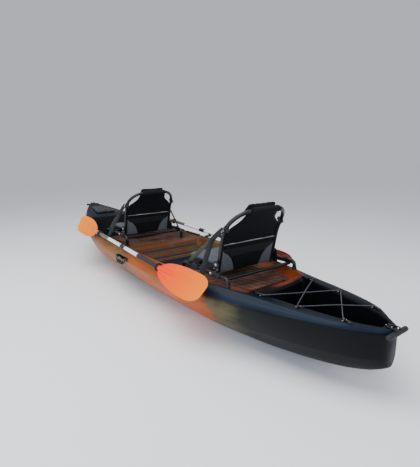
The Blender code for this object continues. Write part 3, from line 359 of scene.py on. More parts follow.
def hullPlastic():
    made, tree, shader, place = newMaterial("rotomouldedPolyethylene", {
        "IOR": 1.51, "Specular IOR Level": 0.11, "Coat Weight": 0.03, "Coat Roughness": 0.12})
    axes = addNode(tree, "SeparateXYZ", links={"Vector": place})
    clouds = addNode(tree, "Mapping", {"Scale": (1, 1.4, 2.2)}, {"Vector": place})
    drift = addNode(tree, "TexNoise", {"Scale": 2.6, "Detail": 4.0, "Roughness": 0.55}, {"Vector": clouds})
    shift = addNode(tree, "MapRange", {"To Min": -0.31, "To Max": 0.31}, {"Value": drift})
    warped = addNode(tree, "Math", {"operation": "ADD"}, {0: axes.outputs["X"], 1: shift})
    along = addNode(tree, "MapRange", {"From Min": -2.0, "From Max": 2.0}, {"Value": warped})
    main, blotch, deck = (addNode(tree, "ValToRGB", {"stops": hullBlend[name]}, {"Fac": along})
                          for name in ("main", "blotch", "deck"))
    colours = []
    for base, scale, stretch, low, high in ((main, 3.4, (0.55, 1.6, 2.6), 0.50, 0.63),
                                            (deck, 5.5, (0.8, 1.0, 1.4), 0.50, 0.64)):
        patch = addNode(tree, "Mapping", {"Scale": stretch}, {"Vector": place})
        patch = addNode(tree, "TexNoise", {"Scale": scale, "Detail": 5.0, "Roughness": 0.6},
                        {"Vector": patch})
        share = addNode(tree, "MapRange", {"From Min": low, "From Max": high, "To Max": 0.8},
                        {"Value": patch})
        colours.append(addNode(tree, "Mix", {"data_type": "RGBA"}, {0: share, 6: base, 7: blotch}))
    colour = colours[0]
    # the floor colour is painted shade and sky reflection over the dark plastic of the wells and step treads
    # the shoulder colour is a painted sky reflection on the glossy black sides aft
    zones = {"deck": colours[1]} | {zone: hullBlend[zone] for zone in ("shoulder", "floor", "stern", "bow")}
    for zone, over in zones.items():
        share = addNode(tree, "Attribute", {"attribute_name": zone}).outputs["Fac"]
        settings, links = {"data_type": "RGBA"}, {0: share, 6: colour}
        (settings if isinstance(over, str) else links)[7] = over
        colour = addNode(tree, "Mix", settings, links)
    grain = addNode(tree, "TexNoise", {"Scale": 420.0}, {"Vector": place})  # powder grain, drawn at 2 mm
    speckle = addNode(tree, "Math", {"operation": "MULTIPLY", 1: 0.12}, {0: grain})
    colour = addNode(tree, "Mix", {"data_type": "RGBA", 7: "#000000"}, {0: speckle, 6: colour})
    scuffs = addNode(tree, "Mapping", {"Scale": (0.3, 1, 1)}, {"Vector": place})
    wear = addNode(tree, "TexNoise", {"Scale": 9.0, "Detail": 6.0, "Roughness": 0.7}, {"Vector": scuffs})
    rough = addNode(tree, "MapRange", {"From Min": 0.35, "From Max": 0.7, "To Min": 0.36, "To Max": 0.52},
                    {"Value": wear})
    pebble = addNode(tree, "TexNoise", {"Scale": 260.0}, {"Vector": place})  # mould texture, 4 mm
    relief = addNode(tree, "Bump", {"Strength": 0.1, "Distance": 0.0006}, {"Height": pebble})
    joinNodes(tree, shader, {"Base Color": colour, "Roughness": rough, "Normal": relief})
    return made


def plainPlastic(name, shade, roughness, relief=0.12, perMetre=500.0, spread=0.15):
    # moulded nylon or ABS: even colour, spark-eroded fine texture, slightly shiny on the worn spots
    made, tree, shader, place = newMaterial(name, {"IOR": 1.53})
    soft = addNode(tree, "TexNoise", {"Scale": 14.0, "Detail": 3.0}, {"Vector": place})
    dark = addNode(tree, "Math", {"operation": "MULTIPLY", 1: spread}, {0: soft})
    colour = addNode(tree, "Mix", {"data_type": "RGBA", 6: shade, 7: "#000000"}, {0: dark})
    rough = addNode(tree, "MapRange", {"From Min": 0.3, "From Max": 0.7, "To Min": roughness - 0.06,
                                                 "To Max": roughness + 0.07}, {"Value": soft})
    fine = addNode(tree, "TexNoise", {"Scale": perMetre}, {"Vector": place})
    bumps = addNode(tree, "Bump", {"Strength": relief, "Distance": 0.0004}, {"Height": fine})
    joinNodes(tree, shader, {"Base Color": colour, "Roughness": rough, "Normal": bumps})
    return made


def wovenCloth(name, shade, threadMm, relief=0.35, sheen=0.25, lighter="#FFFFFF", share=0.08):
    # woven polyester: dull, a square weave of threads, drawn coarser than life so that it shows
    made, tree, shader, place = newMaterial(name, {
        "Roughness": 0.85, "Sheen Weight": sheen, "Sheen Roughness": 0.5, "Specular IOR Level": 0.12})
    threads = []
    for lean in ((1, 0, 0.35), (0, 1, 1)):
        part = addNode(tree, "VectorMath", {"operation": "DOT_PRODUCT", 1: lean}, {0: place})
        turns = addNode(tree, "Math", {"operation": "MULTIPLY", 1: math.pi * 1000 / threadMm},
                        {0: part.outputs["Value"]})
        wave = addNode(tree, "Math", {"operation": "SINE"}, {0: turns})
        threads.append(addNode(tree, "Math", {"operation": "ABSOLUTE"}, {0: wave}))
    weave = addNode(tree, "Math", {"operation": "MAXIMUM"}, dict(enumerate(threads)))
    cloud = addNode(tree, "TexNoise", {"Scale": 22.0, "Detail": 4.0}, {"Vector": place})
    blotch = addNode(tree, "MapRange", {"To Min": 0.36, "To Max": 0.64}, {"Value": cloud})
    worn = addNode(tree, "Math", {"operation": "MULTIPLY"}, {0: weave, 1: blotch})
    tone = addNode(tree, "Math", {"operation": "MULTIPLY", 1: share * 2}, {0: worn})
    colour = addNode(tree, "Mix", {"data_type": "RGBA", 6: shade, 7: lighter}, {0: tone})
    bumps = addNode(tree, "Bump", {"Strength": relief, "Distance": 0.0005}, {"Height": weave})
    joinNodes(tree, shader, {"Base Color": colour, "Normal": bumps})
    return made


def meshCloth(name, shade, back, holeMm):
    # knitted spacer mesh: round holes in rows, dark between the yarns
    made, tree, shader, place = newMaterial(name, {
        "Roughness": 0.9, "Sheen Weight": 0.04, "Specular IOR Level": 0.25})
    cells = addNode(tree, "TexVoronoi", {"Scale": 1000 / holeMm, "Randomness": 0.0}, {"Vector": place})
    yarn = addNode(tree, "MapRange", {"From Min": 0.25, "From Max": 0.45}, {"Value": cells})
    colour = addNode(tree, "Mix", {"data_type": "RGBA", 6: back, 7: shade}, {0: yarn})
    bumps = addNode(tree, "Bump", {"Strength": 0.6, "Distance": 0.001}, {"Height": yarn})
    joinNodes(tree, shader, {"Base Color": colour, "Normal": bumps})
    return made


def stripedTextile(name, shade, fleck, pitchMm, low, high, relief=0.5):
    # webbing and braided sheaths: fine ribs or strands across it, read from the metres along it ("run")
    made, tree, shader, _ = newMaterial(name, {
        "Roughness": 0.72, "Sheen Weight": 0.04, "Specular IOR Level": 0.3})
    run = addNode(tree, "Attribute", {"attribute_name": "run"}).outputs["Fac"]
    turns = addNode(tree, "Math", {"operation": "MULTIPLY", 1: math.tau * 1000 / pitchMm}, {0: run})
    ribs = addNode(tree, "Math", {"operation": "SINE"}, {0: turns})
    tone = addNode(tree, "MapRange", {"From Min": low, "From Max": 1.0, "To Max": high}, {"Value": ribs})
    colour = addNode(tree, "Mix", {"data_type": "RGBA", 6: shade, 7: fleck}, {0: tone})
    bumps = addNode(tree, "Bump", {"Strength": relief, "Distance": 0.0004}, {"Height": ribs})
    joinNodes(tree, shader, {"Base Color": colour, "Normal": bumps})
    return made


def bladePlastic(name, root, tip, rootX, tipX):
    # injection-moulded polypropylene: bright and satin, in two shades that blend from the root to the tip; the
    # pair of shades differs from blade to blade as painted light and shade
    made, tree, shader, place = newMaterial(name, {
        "Roughness": 0.38, "IOR": 1.49, "Specular IOR Level": 0.15})
    axes = addNode(tree, "SeparateXYZ", links={"Vector": place})
    share = addNode(tree, "MapRange", {"From Min": rootX, "From Max": tipX}, {"Value": axes.outputs["X"]})
    shade = addNode(tree, "Mix", {"data_type": "RGBA", 6: root, 7: tip}, {0: share})
    clouds = addNode(tree, "TexNoise", {"Scale": 16.0, "Detail": 4.0}, {"Vector": place})
    deep = addNode(tree, "Math", {"operation": "MULTIPLY", 1: 0.14}, {0: clouds})
    colour = addNode(tree, "Mix", {"data_type": "RGBA", 7: "#7A2A08"}, {0: deep, 6: shade})
    fine = addNode(tree, "TexNoise", {"Scale": 350.0}, {"Vector": place})
    bumps = addNode(tree, "Bump", {"Strength": 0.08, "Distance": 0.0004}, {"Height": fine})
    joinNodes(tree, shader, {"Base Color": colour, "Normal": bumps})
    return made


def coatedMetal(name, shade, roughness, metallic, perMetre, stretch=(1, 1, 1)):
    # powder coat: leathery ripple about 1 mm across; brushed steel has fine lines along it instead
    made, tree, shader, place = newMaterial(name, {"Metallic": metallic})
    soft = addNode(tree, "TexNoise", {"Scale": 20.0, "Detail": 3.0}, {"Vector": place})
    dark = addNode(tree, "Math", {"operation": "MULTIPLY", 1: 0.2}, {0: soft})
    colour = addNode(tree, "Mix", {"data_type": "RGBA", 6: shade, 7: "#000000"}, {0: dark})
    rough = addNode(tree, "MapRange", {"To Min": roughness - 0.08, "To Max": roughness + 0.08},
                    {"Value": soft})
    lines = addNode(tree, "Mapping", {"Scale": stretch}, {"Vector": place})
    ripple = addNode(tree, "TexNoise", {"Scale": perMetre, "Detail": 1.0}, {"Vector": lines})
    bumps = addNode(tree, "Bump", {"Strength": 0.12, "Distance": 0.0003}, {"Height": ripple})
    joinNodes(tree, shader, {"Base Color": colour, "Roughness": rough, "Normal": bumps})
    return made


def foamSheet(name, shade, vein):
    # cut EVA foam: matt closed cells, marbled in two shades, with its grooves painted near-black as shade
    made, tree, shader, place = newMaterial(name, {"Roughness": 0.88, "Specular IOR Level": 0.3})
    marble = addNode(tree, "TexNoise", {"Scale": 9.0, "Detail": 5.0, "Roughness": 0.65}, {"Vector": place})
    share = addNode(tree, "MapRange", {"From Min": 0.38, "From Max": 0.6}, {"Value": marble})
    tone = addNode(tree, "Mix", {"data_type": "RGBA", 6: shade, 7: vein}, {0: share})
    # painted shade: the recessed grooves are darkened to near-black
    cut = addNode(tree, "Attribute", {"attribute_name": "groove"}).outputs["Fac"]
    groove = addNode(tree, "MapRange", {"From Min": 0.1, "From Max": 0.4}, {"Value": cut})
    colour = addNode(tree, "Mix", {"data_type": "RGBA", 7: "#0C0908"}, {0: groove, 6: tone})
    cells = addNode(tree, "TexNoise", {"Scale": 700.0}, {"Vector": place})
    bumps = addNode(tree, "Bump", {"Strength": 0.35, "Distance": 0.0005}, {"Height": cells})
    joinNodes(tree, shader, {"Base Color": colour, "Normal": bumps})
    return made


finishes = {
    "hull": hullPlastic(),
    "nylon": plainPlastic("blackNylon", "#17191B", 0.42),
    "gloss": plainPlastic("blackAbs", "#0F1113", 0.22, 0.05),
    "rubber": plainPlastic("rubber", "#141414", 0.78, 0.4, 300.0),
    "grip": plainPlastic("grippedFoam", "#1B1C1E", 0.7, 0.6, 380.0, 0.3),
    "lid": plainPlastic("hatchAbs", "#0C0E10", 0.40, 0.06, 300.0),
    "cloth": wovenCloth("oxfordPolyester", "#020303", 1.6, 0.5, 0.01, "#2A2F34", 0.25),
    "side": wovenCloth("greyPolyester", "#363D47", 1.8, sheen=0.05, share=0.08),
    "cushion": wovenCloth("cushionPolyester", "#1E2630", 1.8, sheen=0.05, share=0.08),
    "mesh": meshCloth("spacerMesh", "#181B1D", "#030404", 4.0),
    "piping": plainPlastic("pipingVinyl", "#8B9494", 0.5),
    "binding": wovenCloth("bindingTape", "#040506", 1.2, 0.4, 0.01, "#2A2F34", 0.25),
    "webbing": stripedTextile("nylonWebbing", "#101211", "#5A5E60", 2.4, -0.4, 0.25),
    "olive": stripedTextile("oliveWebbing", "#3B3C30", "#7A7A66", 2.4, -0.4, 0.25),
    "bungee": stripedTextile("shockCord", "#15171A", "#9AA0A6", 5.0, 0.5, 0.8, 0.35),
    "cord": stripedTextile("handleCord", "#121315", "#4A4E54", 5.0, 0.5, 0.8, 0.35),
    "tube": coatedMetal("powderCoatedAluminium", "#111214", 0.34, 0.15, 900.0),
    "steel": coatedMetal("brushedStainlessSteel", "#C9CCCE", 0.3, 1.0, 700.0, (0.1, 1, 1)),
    "foam": foamSheet("evaFoam", "#6E483C", "#49312A"),
    "shaft": plainPlastic("whiteFibreglass", "#E4E6E8", 0.25, 0.03, 120.0, 0.04),
    "darkShaft": plainPlastic("greyFibreglass", "#5D5A4E", 0.35, 0.05, 120.0),
}
print("materials ready")

# ---- hull: a finer skin over the frame's own lines

hull = {
    "halfLength": 1.98, "wall": 0.0055, "stationGap": 0.028, "deckBend": 0.016,
    "fluteDepth": 0.0035, "fluteGap": 0.075, "channelDepth": 0.004, "saddle": 0.024,
    "creaseY": ((-1.98, .045), (-1.9, .108), (-1.8, .174), (-1.6, .248), (-1.4, .302), (-1.2, .354), (-.8, .410),
                (-.4, .432), (0, .438), (.4, .430), (.8, .400), (1.2, .335), (1.6, .220), (1.9, .090),
                (1.98, .034)),
    "creaseZ": ((-1.98, .322), (-1.8, .322), (-1.6, .315), (-1.4, .302), (-1.2, .290), (-.9, .285), (.4, .285),
                (.8, .300), (1.2, .335), (1.6, .385), (1.8, .420), (1.98, .470)),
    "chineY": ((-1.98, .044), (-1.9, .104), (-1.6, .212), (-1.2, .285), (-.8, .325), (0, .345), (.8, .310),
               (1.2, .235), (1.6, .120), (1.8, .060), (1.9, .035), (1.98, .014)),
    "chineZ": ((-1.98, .205), (-1.9, .200), (-1.8, .192), (-1.5, .175), (-1.0, .145), (0, .125), (.8, .130),
               (1.2, .145), (1.6, .190), (1.8, .260), (1.9, .330), (1.98, .450)),
    "keelZ": ((-1.98, .160), (-1.95, .140), (-1.9, .116), (-1.8, .086), (-1.6, .052), (-1.3, .020), (-.90, 0),
              (.95, 0), (1.3, .012), (1.6, .050), (1.8, .120), (1.9, .210), (1.95, .300), (1.98, .420)),
    "rimOuter": ((-1.98, .033), (-1.93, .070), (-1.84, .1445), (-1.7, .197), (-1.55, .230), (-1.4, .255),
                 (-1.2, .297), (-1.0, .334), (-.5, .378), (0, .402), (.5, .405), (.9, .375), (1.2, .318),
                 (1.5, .235), (1.75, .145), (1.9, .075), (1.98, .026)),
    "rimInner": ((-1.98, .018), (-1.93, .042), (-1.84, .090), (-1.6, .145), (-1.4, .180), (-1.31, .205),
                 (-1.24, .240), (-1.0, .285), (-.75, .315), (0, .335), (.5, .338), (.9, .310), (1.2, .260),
                 (1.4, .205), (1.6, .155), (1.8, .095), (1.93, .040), (1.98, .012)),
    "rimZ": ((-1.98, .345), (-1.8, .353), (.2, .353), (.6, .362), (1.0, .385), (1.3, .412), (1.6, .452),
             (1.8, .482), (1.98, .512)),
    # deck, wells and steps along the middle
    "deckLine": ((-1.980, .343), (-1.935, .343), (-1.918, .175), (-1.860, .155), (-1.740, .150), (-1.350, .150),
                 (-1.328, .326), (-1.305, .338), (-1.268, .338), (-1.246, .312), (-.700, .312), (-.678, .190),
                 (-.128, .190), (-.112, .240), (-.072, .240), (-.056, .290), (-.016, .290), (.000, .335),
                 (.140, .335), (.158, .312), (.710, .312), (.732, .190), (1.212, .190), (1.228, .245),
                 (1.270, .245), (1.286, .300), (1.324, .300), (1.342, .415), (1.400, .428), (1.470, .440),
                 (1.500, .4433), (1.770, .4730), (1.830, .4796), (1.885, .491), (1.940, .503), (1.980, .515)),
    "hatchFrom": 1.500, "hatchTo": 1.770, "hatchHalfAft": .076, "hatchHalfFore": .046,
    "scuppers": ((-1.62, .038), (-.24, .066), (1.0, .05)), "scupperBore": .012, "scupperWall": .007,
    # the step treads are painted dark with the floor colour as shade in the step creases
    "stepLines": (-.126, -.104, -.076, -.048, -.020), "treadHalf": .007,
    "channelSpans": ((-.60, -.20), (.80, 1.14)), "channelLines": (.02, .11, .17), "channelHalf": .014,
    "saddleAt": -1.287, "saddleHalf": .062, "drainRing": (-1.47, .062, .020), "ringRise": .009,
    "endRounding": .012, "endTuck": .16, "deepWell": .12,
    # where the colour zones begin and end along the boat; the shoulder zone is a painted sky reflection and the
    # floor zone is partly painted shade
    "footwellFrom": -1.2, "shoulderFrom": -.92, "shoulderFade": .13, "sternBelow": -1.309, "bowAbove": 1.215,
}


def hatchHalf(x):
    share = (x - hull["hatchFrom"]) / (hull["hatchTo"] - hull["hatchFrom"])
    return hull["hatchHalfAft"] + (hull["hatchHalfFore"] - hull["hatchHalfAft"]) * min(1, max(0, share))


def rimAt(x):
    return ease(hull["rimInner"], x), ease(hull["rimOuter"], x), ease(hull["rimZ"], x)


def sectionCorners(x, deck):
    # half of the outline: (y, z, bend) up the side from the keel, then over the rim and across the deck
    keel, chineY, chineZ = (ease(hull[name], x) for name in ("keelZ", "chineY", "chineZ"))
    creaseY, creaseZ = ease(hull["creaseY"], x), ease(hull["creaseZ"], x)
    inner, outer, rim = rimAt(x)
    edge = min(0.008, 0.2 * (outer - inner))
    drop = rim - deck
    middle = 0.45 * inner
    if hull["hatchFrom"] - 0.04 < x < hull["hatchTo"] + 0.07:
        middle = hatchHalf(x)
    span, lift = creaseY - chineY, creaseZ - chineZ
    return [
        (0.30 * chineY, keel, 0.03),
        (0.68 * chineY, keel + 0.26 * (chineZ - keel), 0.06),
        (chineY, chineZ, 0.007),
        (chineY + span * 0.35 + 0.022 * creaseY, chineZ + lift * 0.35, 0.08),
        (chineY + span * 0.72 + 0.022 * creaseY, chineZ + lift * 0.72, 0.06),
        (creaseY, creaseZ, 0.006),
        ((creaseY + outer) / 2 + 0.016 * creaseY, (creaseZ + rim) / 2 + 0.004, 0.02),
        (outer, rim - 0.8 * edge, 0.0025),
        (outer - edge, rim, 0.004),
        (inner + edge, rim, 0.005),
        (inner, rim - min(0.010, 0.35 * drop), 0.006),
        (0.93 * inner, deck + min(0.016, 0.3 * drop), 0.02),
        (0.84 * inner, deck, 0.018),
        (middle, deck, 0.0)]


def floorRise(x, y, inner):
    # what the moulding adds to the flat deck: drain channels, the saddle rib, the ring in the stern well
    share = abs(y) / max(inner, 0.01)
    rise = 0.0
    if -1.345 < x < -1.225:
        rise += hull["saddle"] * (share ** 2 - 0.25) * bump(x - hull["saddleAt"], hull["saddleHalf"])
    for low, high in hull["channelSpans"]:
        if low < x < high:
            ends = min(1.0, (x - low) / 0.05, (high - x) / 0.05)
            dips = sum(bump(abs(y) - line, hull["channelHalf"]) for line in hull["channelLines"])
            rise -= hull["channelDepth"] * ends * dips
    if -1.83 < x < -1.37:
        middle, radius, width = hull["drainRing"]
        reach = math.hypot(x - middle, y)
        channel = hull["channelDepth"] * bump(y, hull["channelHalf"]) * (reach > radius + width - 0.002)
        rise += hull["ringRise"] * bump(reach - radius, width) - channel
    if 1.33 < x < 1.95:
        rise += 0.002 * bump(abs(y) - 0.80 * inner, 0.012)
    return rise


def sectionRing(x, deck):
    # the half outline with its bends rounded, always the same number of points
    corners = sectionCorners(x, deck)
    inner, _, rim = rimAt(x)
    points = [(0.0, corners[0][1], 0)]
    for i, (y, z, bend) in enumerate(corners):
        here = Vector((y, z))
        before = Vector(corners[i - 1][:2]) if i else Vector((0, z))
        after = Vector(corners[i + 1][:2]) if i + 1 < len(corners) else Vector((0, z))
        first = here + (before - here).normalized() * min(bend, (before - here).length * 0.45)
        last = here + (after - here).normalized() * min(bend, (after - here).length * 0.45)
        if i in (11, 12, 13):  # extra points down the well wall and across the floor
            start = Vector(points[-1][:2])
            points += [(*start.lerp(first, step / 5), i) for step in range(1, 5)]
        for step in range(1 if i == 13 else 4):
            t = step / 3
            points.append((*(first * (1 - t) ** 2 + here * 2 * t * (1 - t) + last * t ** 2), i))
    start = Vector(points[-1][:2])
    points += [(*start.lerp(Vector((0, start.y)), step / 5), 14) for step in range(1, 6)]
    ring = []
    for y, z, corner in points:
        if corner >= 12 and y < 0.9 * inner:
            z += floorRise(x, y, inner)
        depth = (rim - z) / max(rim - deck, 0.01)
        if corner in (11, 12) and rim - deck > 0.10:  # upright flutes in the well walls
            y -= hull["fluteDepth"] * math.sin(math.pi * min(1, max(0, depth))) * (
                0.5 + 0.5 * math.cos(math.tau * x / hull["fluteGap"]))
        ring.append((y, z, corner))
    return ring


def hullStations():
    # the deck line with rounded bends, and more stations where it runs straight
    line = roundedPath([(x, 0, z) for x, z in hull["deckLine"]], hull["deckBend"], 3)
    stations = [line[0]]
    for point in line[1:]:
        gap = point - stations[-1]
        if gap.length < 0.0015:
            continue
        count = max(1, math.ceil(gap.x / hull["stationGap"]))
        first = stations[-1]
        stations += [first.lerp(point, step / count) for step in range(1, count + 1)]
    return [(point.x, point.z) for point in stations]


def buildHull():
    stations = hullStations()
    end = hull["halfLength"]
    rings = []
    for x, deck in stations:
        half = sectionRing(x, deck)
        rings.append(half + [(-y, z, corner) for y, z, corner in reversed(half[:-1])])
    shape = bmesh.new()
    bmesh.ops.create_grid(shape, x_segments=len(rings) - 1, y_segments=len(rings[0]) - 1, size=1.0)
    names = ("deck", "floor", "shoulder", "stern", "bow")
    zones = {name: shape.verts.layers.float.new(name) for name in names}
    for vert in shape.verts:
        i = round((vert.co.x + 1) / 2 * (len(rings) - 1))
        j = round((vert.co.y + 1) / 2 * (len(rings[0]) - 1))
        x, deck = stations[i]
        y, z, corner = rings[i][j]
        near = max(0.0, 1 - (end - abs(x)) / hull["endRounding"])  # the two ends are rounded over
        vert.co = (x, y * (1 - hull["endTuck"] * near ** 2), z)
        # floor zone: the deep well floors, painted shade and sky reflection over dark plastic, and the step
        # treads, painted shade in the step creases
        inWell = rimAt(x)[2] - deck > hull["deepWell"] and z < deck + 0.02
        tread = any(abs(x - line) < hull["treadHalf"] for line in hull["stepLines"])
        fade = min(1.0, max(0.0, (hull["shoulderFrom"] - x) / hull["shoulderFade"]))
        vert[zones["deck"]] = float(corner >= 8)
        vert[zones["floor"]] = float(x > hull["footwellFrom"] and corner >= 12 and (inWell or tread))
        # shoulder zone: a painted sky reflection, fading in aft of shoulderFrom
        vert[zones["shoulder"]] = fade if 6 <= corner <= 8 else 0.0
        vert[zones["stern"]] = float(x < hull["sternBelow"] and corner >= 9)
        vert[zones["bow"]] = float(x > hull["bowAbove"] and corner >= 9)
    caps = [[edge for edge in shape.edges if all(abs(vert.co.x - side * end) < mergeGap for vert in edge.verts)]
            for side in (-1, 1)]
    for edges in caps:
        bmesh.ops.contextual_create(shape, geom=edges)
    bmesh.ops.remove_doubles(shape, verts=shape.verts, dist=looseGap)
    bmesh.ops.recalc_face_normals(shape, faces=shape.faces)
    return shape


def inHatch(place):
    # only the deck is as high as this within the hatch
    return hull["hatchFrom"] < place.x < hull["hatchTo"] and abs(place.y) < hatchHalf(place.x) and place.z > 0.42


def scupperColumns(radius, reach):
    # cylinders from the keel to the floor of each well, for the boolean modifiers
    shape = bmesh.new()
    for x, y in hull["scuppers"]:
        for side in (1, -1):
            low = ease(hull["keelZ"], x) - reach
            high = (0.15 if x < -1 else 0.19) + reach
            place = Matrix.Translation((x, side * y, (low + high) / 2))
            bmesh.ops.create_cone(shape, cap_ends=True, segments=24, radius1=radius, radius2=radius,
                                  depth=high - low, matrix=place)
    mesh = bpy.data.meshes.new("scupper")
    shape.to_mesh(mesh)
    shape.free()
    tool = bpy.data.objects.new("scupper", mesh)
    bpy.context.scene.collection.objects.link(tool)
    return tool


def addHull():
    shape = buildHull()
    skin = BVHTree.FromBMesh(shape)
    opening = [face for face in shape.faces if inHatch(face.calc_center_median())]
    bmesh.ops.delete(shape, geom=opening, context="FACES")
    piece = addPiece("hull_skin", shape, finishes["hull"], None, smooth=0)
    wall = piece.modifiers.new("wall", "SOLIDIFY")
    wall.thickness = hull["wall"]
    wall.offset = -1.0
    tools = [scupperColumns(hull["scupperBore"] + hull["scupperWall"], -hull["wall"] / 2),
             scupperColumns(hull["scupperBore"], 0.02)]
    for tool, operation in zip(tools, ("UNION", "DIFFERENCE")):
        cut = piece.modifiers.new("scupper", "BOOLEAN")
        cut.operation, cut.object, cut.solver = operation, tool, "EXACT"
    bpy.context.view_layer.update()
    final = bpy.data.meshes.new_from_object(piece.evaluated_get(bpy.context.evaluated_depsgraph_get()))
    piece.modifiers.clear()
    piece.data = final
    reach = hull["scupperBore"] + hull["scupperWall"] + 0.002
    for x, y in hull["scuppers"]:  # the drain holes take the colour of the well they drain: the stern's black plastic, or in the footwells the floor zone's painted shade and sky reflection
        zone, above = final.attributes["stern" if x < -1 else "floor"], ease(hull["keelZ"], x) + 0.02
        for vert in final.vertices:
            if vert.co.z > above and math.hypot(vert.co.x - x, abs(vert.co.y) - y) < reach:
                zone.data[vert.index].value = 1.0
    final.shade_smooth()
    final.set_sharp_from_angle(angle=math.radians(50))
    for tool in tools:
        bpy.data.objects.remove(tool, do_unlink=True)
    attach(piece, "root")
    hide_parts("hull")
    print("hull", len(final.polygons), "faces")
    return skin


hullSkin = addHull()


def deckUnder(x, y):
    # a place on the hull with its Z axis square to the surface
    hit = hullSkin.ray_cast(Vector((x, y, 2.0)), Vector((0, 0, -1)))
    normal = hit[1] if hit[1].z > 0 else -hit[1]
    run = Vector((0, 1, 0)).cross(normal).normalized()
    turn = Matrix((run, normal.cross(run), normal)).transposed().to_4x4()
    return Matrix.Translation(hit[0]) @ turn


# ---- more tools for cloth, straps and fittings

bodyOf = {node: body for body, names in frame["record"]["behaviour"]["bodies"].items() for node in names}


def pillow(rows, columns, place, thick, roll=0.2, rollV=None):
    # two grids that meet in a thin rim; place gives a point and its normal for u and v from -1 to 1
    shape = bmesh.new()
    rollV = rollV or roll
    for side in (1, -1):
        made = bmesh.ops.create_grid(shape, x_segments=columns, y_segments=rows, size=1.0)["verts"]
        for vert in made:
            u, v = (math.sin(math.pi / 2 * t) for t in (vert.co.x, vert.co.y))
            near = [math.sqrt(max(0.0, 1 - max(0.0, (abs(t) - 1 + r) / r) ** 2))
                    for t, r in ((u, roll), (v, rollV))]
            point, normal = place(u, v)
            vert.co = Vector(point) + Vector(normal) * (side * thick / 2 * near[0] * near[1])
    bmesh.ops.remove_doubles(shape, verts=shape.verts, dist=mergeGap)
    bmesh.ops.recalc_face_normals(shape, faces=shape.faces)
    return shape


wadding = {"pressure": 4.0, "steps": 20, "smoothing": 4}


def inflated(shape, voxel, cap):
    # a sewn cover filled with wadding: the cloth swells, each point by no more than the cap
    mesh = bpy.data.meshes.new("pad")
    shape.to_mesh(mesh)
    shape.free()
    pad = bpy.data.objects.new("pad", mesh)
    scene = bpy.context.scene
    scene.collection.objects.link(pad)
    remesh = pad.modifiers.new("remesh", "REMESH")
    remesh.mode, remesh.voxel_size = "VOXEL", voxel
    bpy.context.view_layer.update()
    mesh = bpy.data.meshes.new_from_object(pad.evaluated_get(bpy.context.evaluated_depsgraph_get()))
    pad.modifiers.clear()
    pad.data = mesh
    cloth = pad.modifiers.new("cloth", "CLOTH")
    cloth.settings.use_pressure = True
    cloth.settings.uniform_pressure_force = wadding["pressure"]
    cloth.settings.effector_weights.gravity = 0
    cloth.point_cache.frame_start, cloth.point_cache.frame_end = 1, wadding["steps"]
    for step in range(1, wadding["steps"] + 1):
        scene.frame_set(step)
    swollen = pad.evaluated_get(bpy.context.evaluated_depsgraph_get()).to_mesh()
    ends = [vert.co.copy() for vert in swollen.vertices]
    pad.modifiers.clear()
    for vert, end in zip(mesh.vertices, ends):
        move = end - vert.co
        vert.co += move * min(1.0, cap / max(move.length, 1e-9))
    scene.frame_set(1)
    bpy.data.objects.remove(pad, do_unlink=True)
    shape = bmesh.new()
    shape.from_mesh(mesh)
    for _ in range(wadding["smoothing"]):
        bmesh.ops.smooth_vert(shape, verts=shape.verts, factor=0.5, use_axis_x=True, use_axis_y=True,
                              use_axis_z=True)
    return shape


def buckle(turn, width=0.030, length=0.034, thick=0.0045):
    # ladder lock: two side rails and three bars
    rail = 0.0040
    shape = bmesh.new()
    for side in (1, -1):
        mergeShapes(shape, roundedBox((rail, length, thick), (side * (width - rail) / 2, 0, 0), 0.0012))
    for place in (-0.5, 0.0, 0.5):
        mergeShapes(shape, roundedBox((width - rail, rail, thick), (0, place * (length - rail), 0), 0.0012))
    return moved(shape, turn)


def screwHead(turn, radius=0.0042, height=0.0022, washer=0.0):
    # domed head with a countersunk driving hole, on a washer where it has one
    shares = ((0, 0), (1, 0), (1, 0.35), (0.86, 0.75), (0.55, 1), (0.4, 1), (0.34, 0.45), (0, 0.4))
    shape = turned([(radius * out, height * up) for out, up in shares], 16)
    if washer:
        flat = [(0, -0.0002), (washer, -0.0002), (washer, 0.0006), (washer * 0.94, 0.0009), (0, 0.0009)]
        mergeShapes(shape, turned(flat, 20))
    return moved(shape, turn)


def facing(point, outward, run=(1, 0, 0)):
    # a frame at a point with its Z axis along outward
    z = Vector(outward).normalized()
    x = Vector(run)
    x = (x - z * x.dot(z)).normalized()
    return Matrix.Translation(point) @ Matrix((x, z.cross(x), z)).transposed().to_4x4()


def refined(name, material, edge):
    # a copy of a CAD node with its flat faces joined and its sharp edges broken
    shape = bmesh.new()
    shape.from_mesh(nodes[name].data)
    bmesh.ops.remove_doubles(shape, verts=shape.verts, dist=looseGap)
    bmesh.ops.dissolve_limit(shape, angle_limit=math.radians(0.8), verts=shape.verts, edges=shape.edges)
    least = math.radians(28)
    sharp = [line for line in shape.edges if line.is_manifold and line.calc_face_angle() > least]
    bmesh.ops.bevel(shape, geom=sharp, offset=edge, segments=2, profile=0.5, affect="EDGES", material=-1,
                    clamp_overlap=True)
    return addPiece(name + "_finished", shape, material, bodyOf[name], (name,))


# ---- folding seats

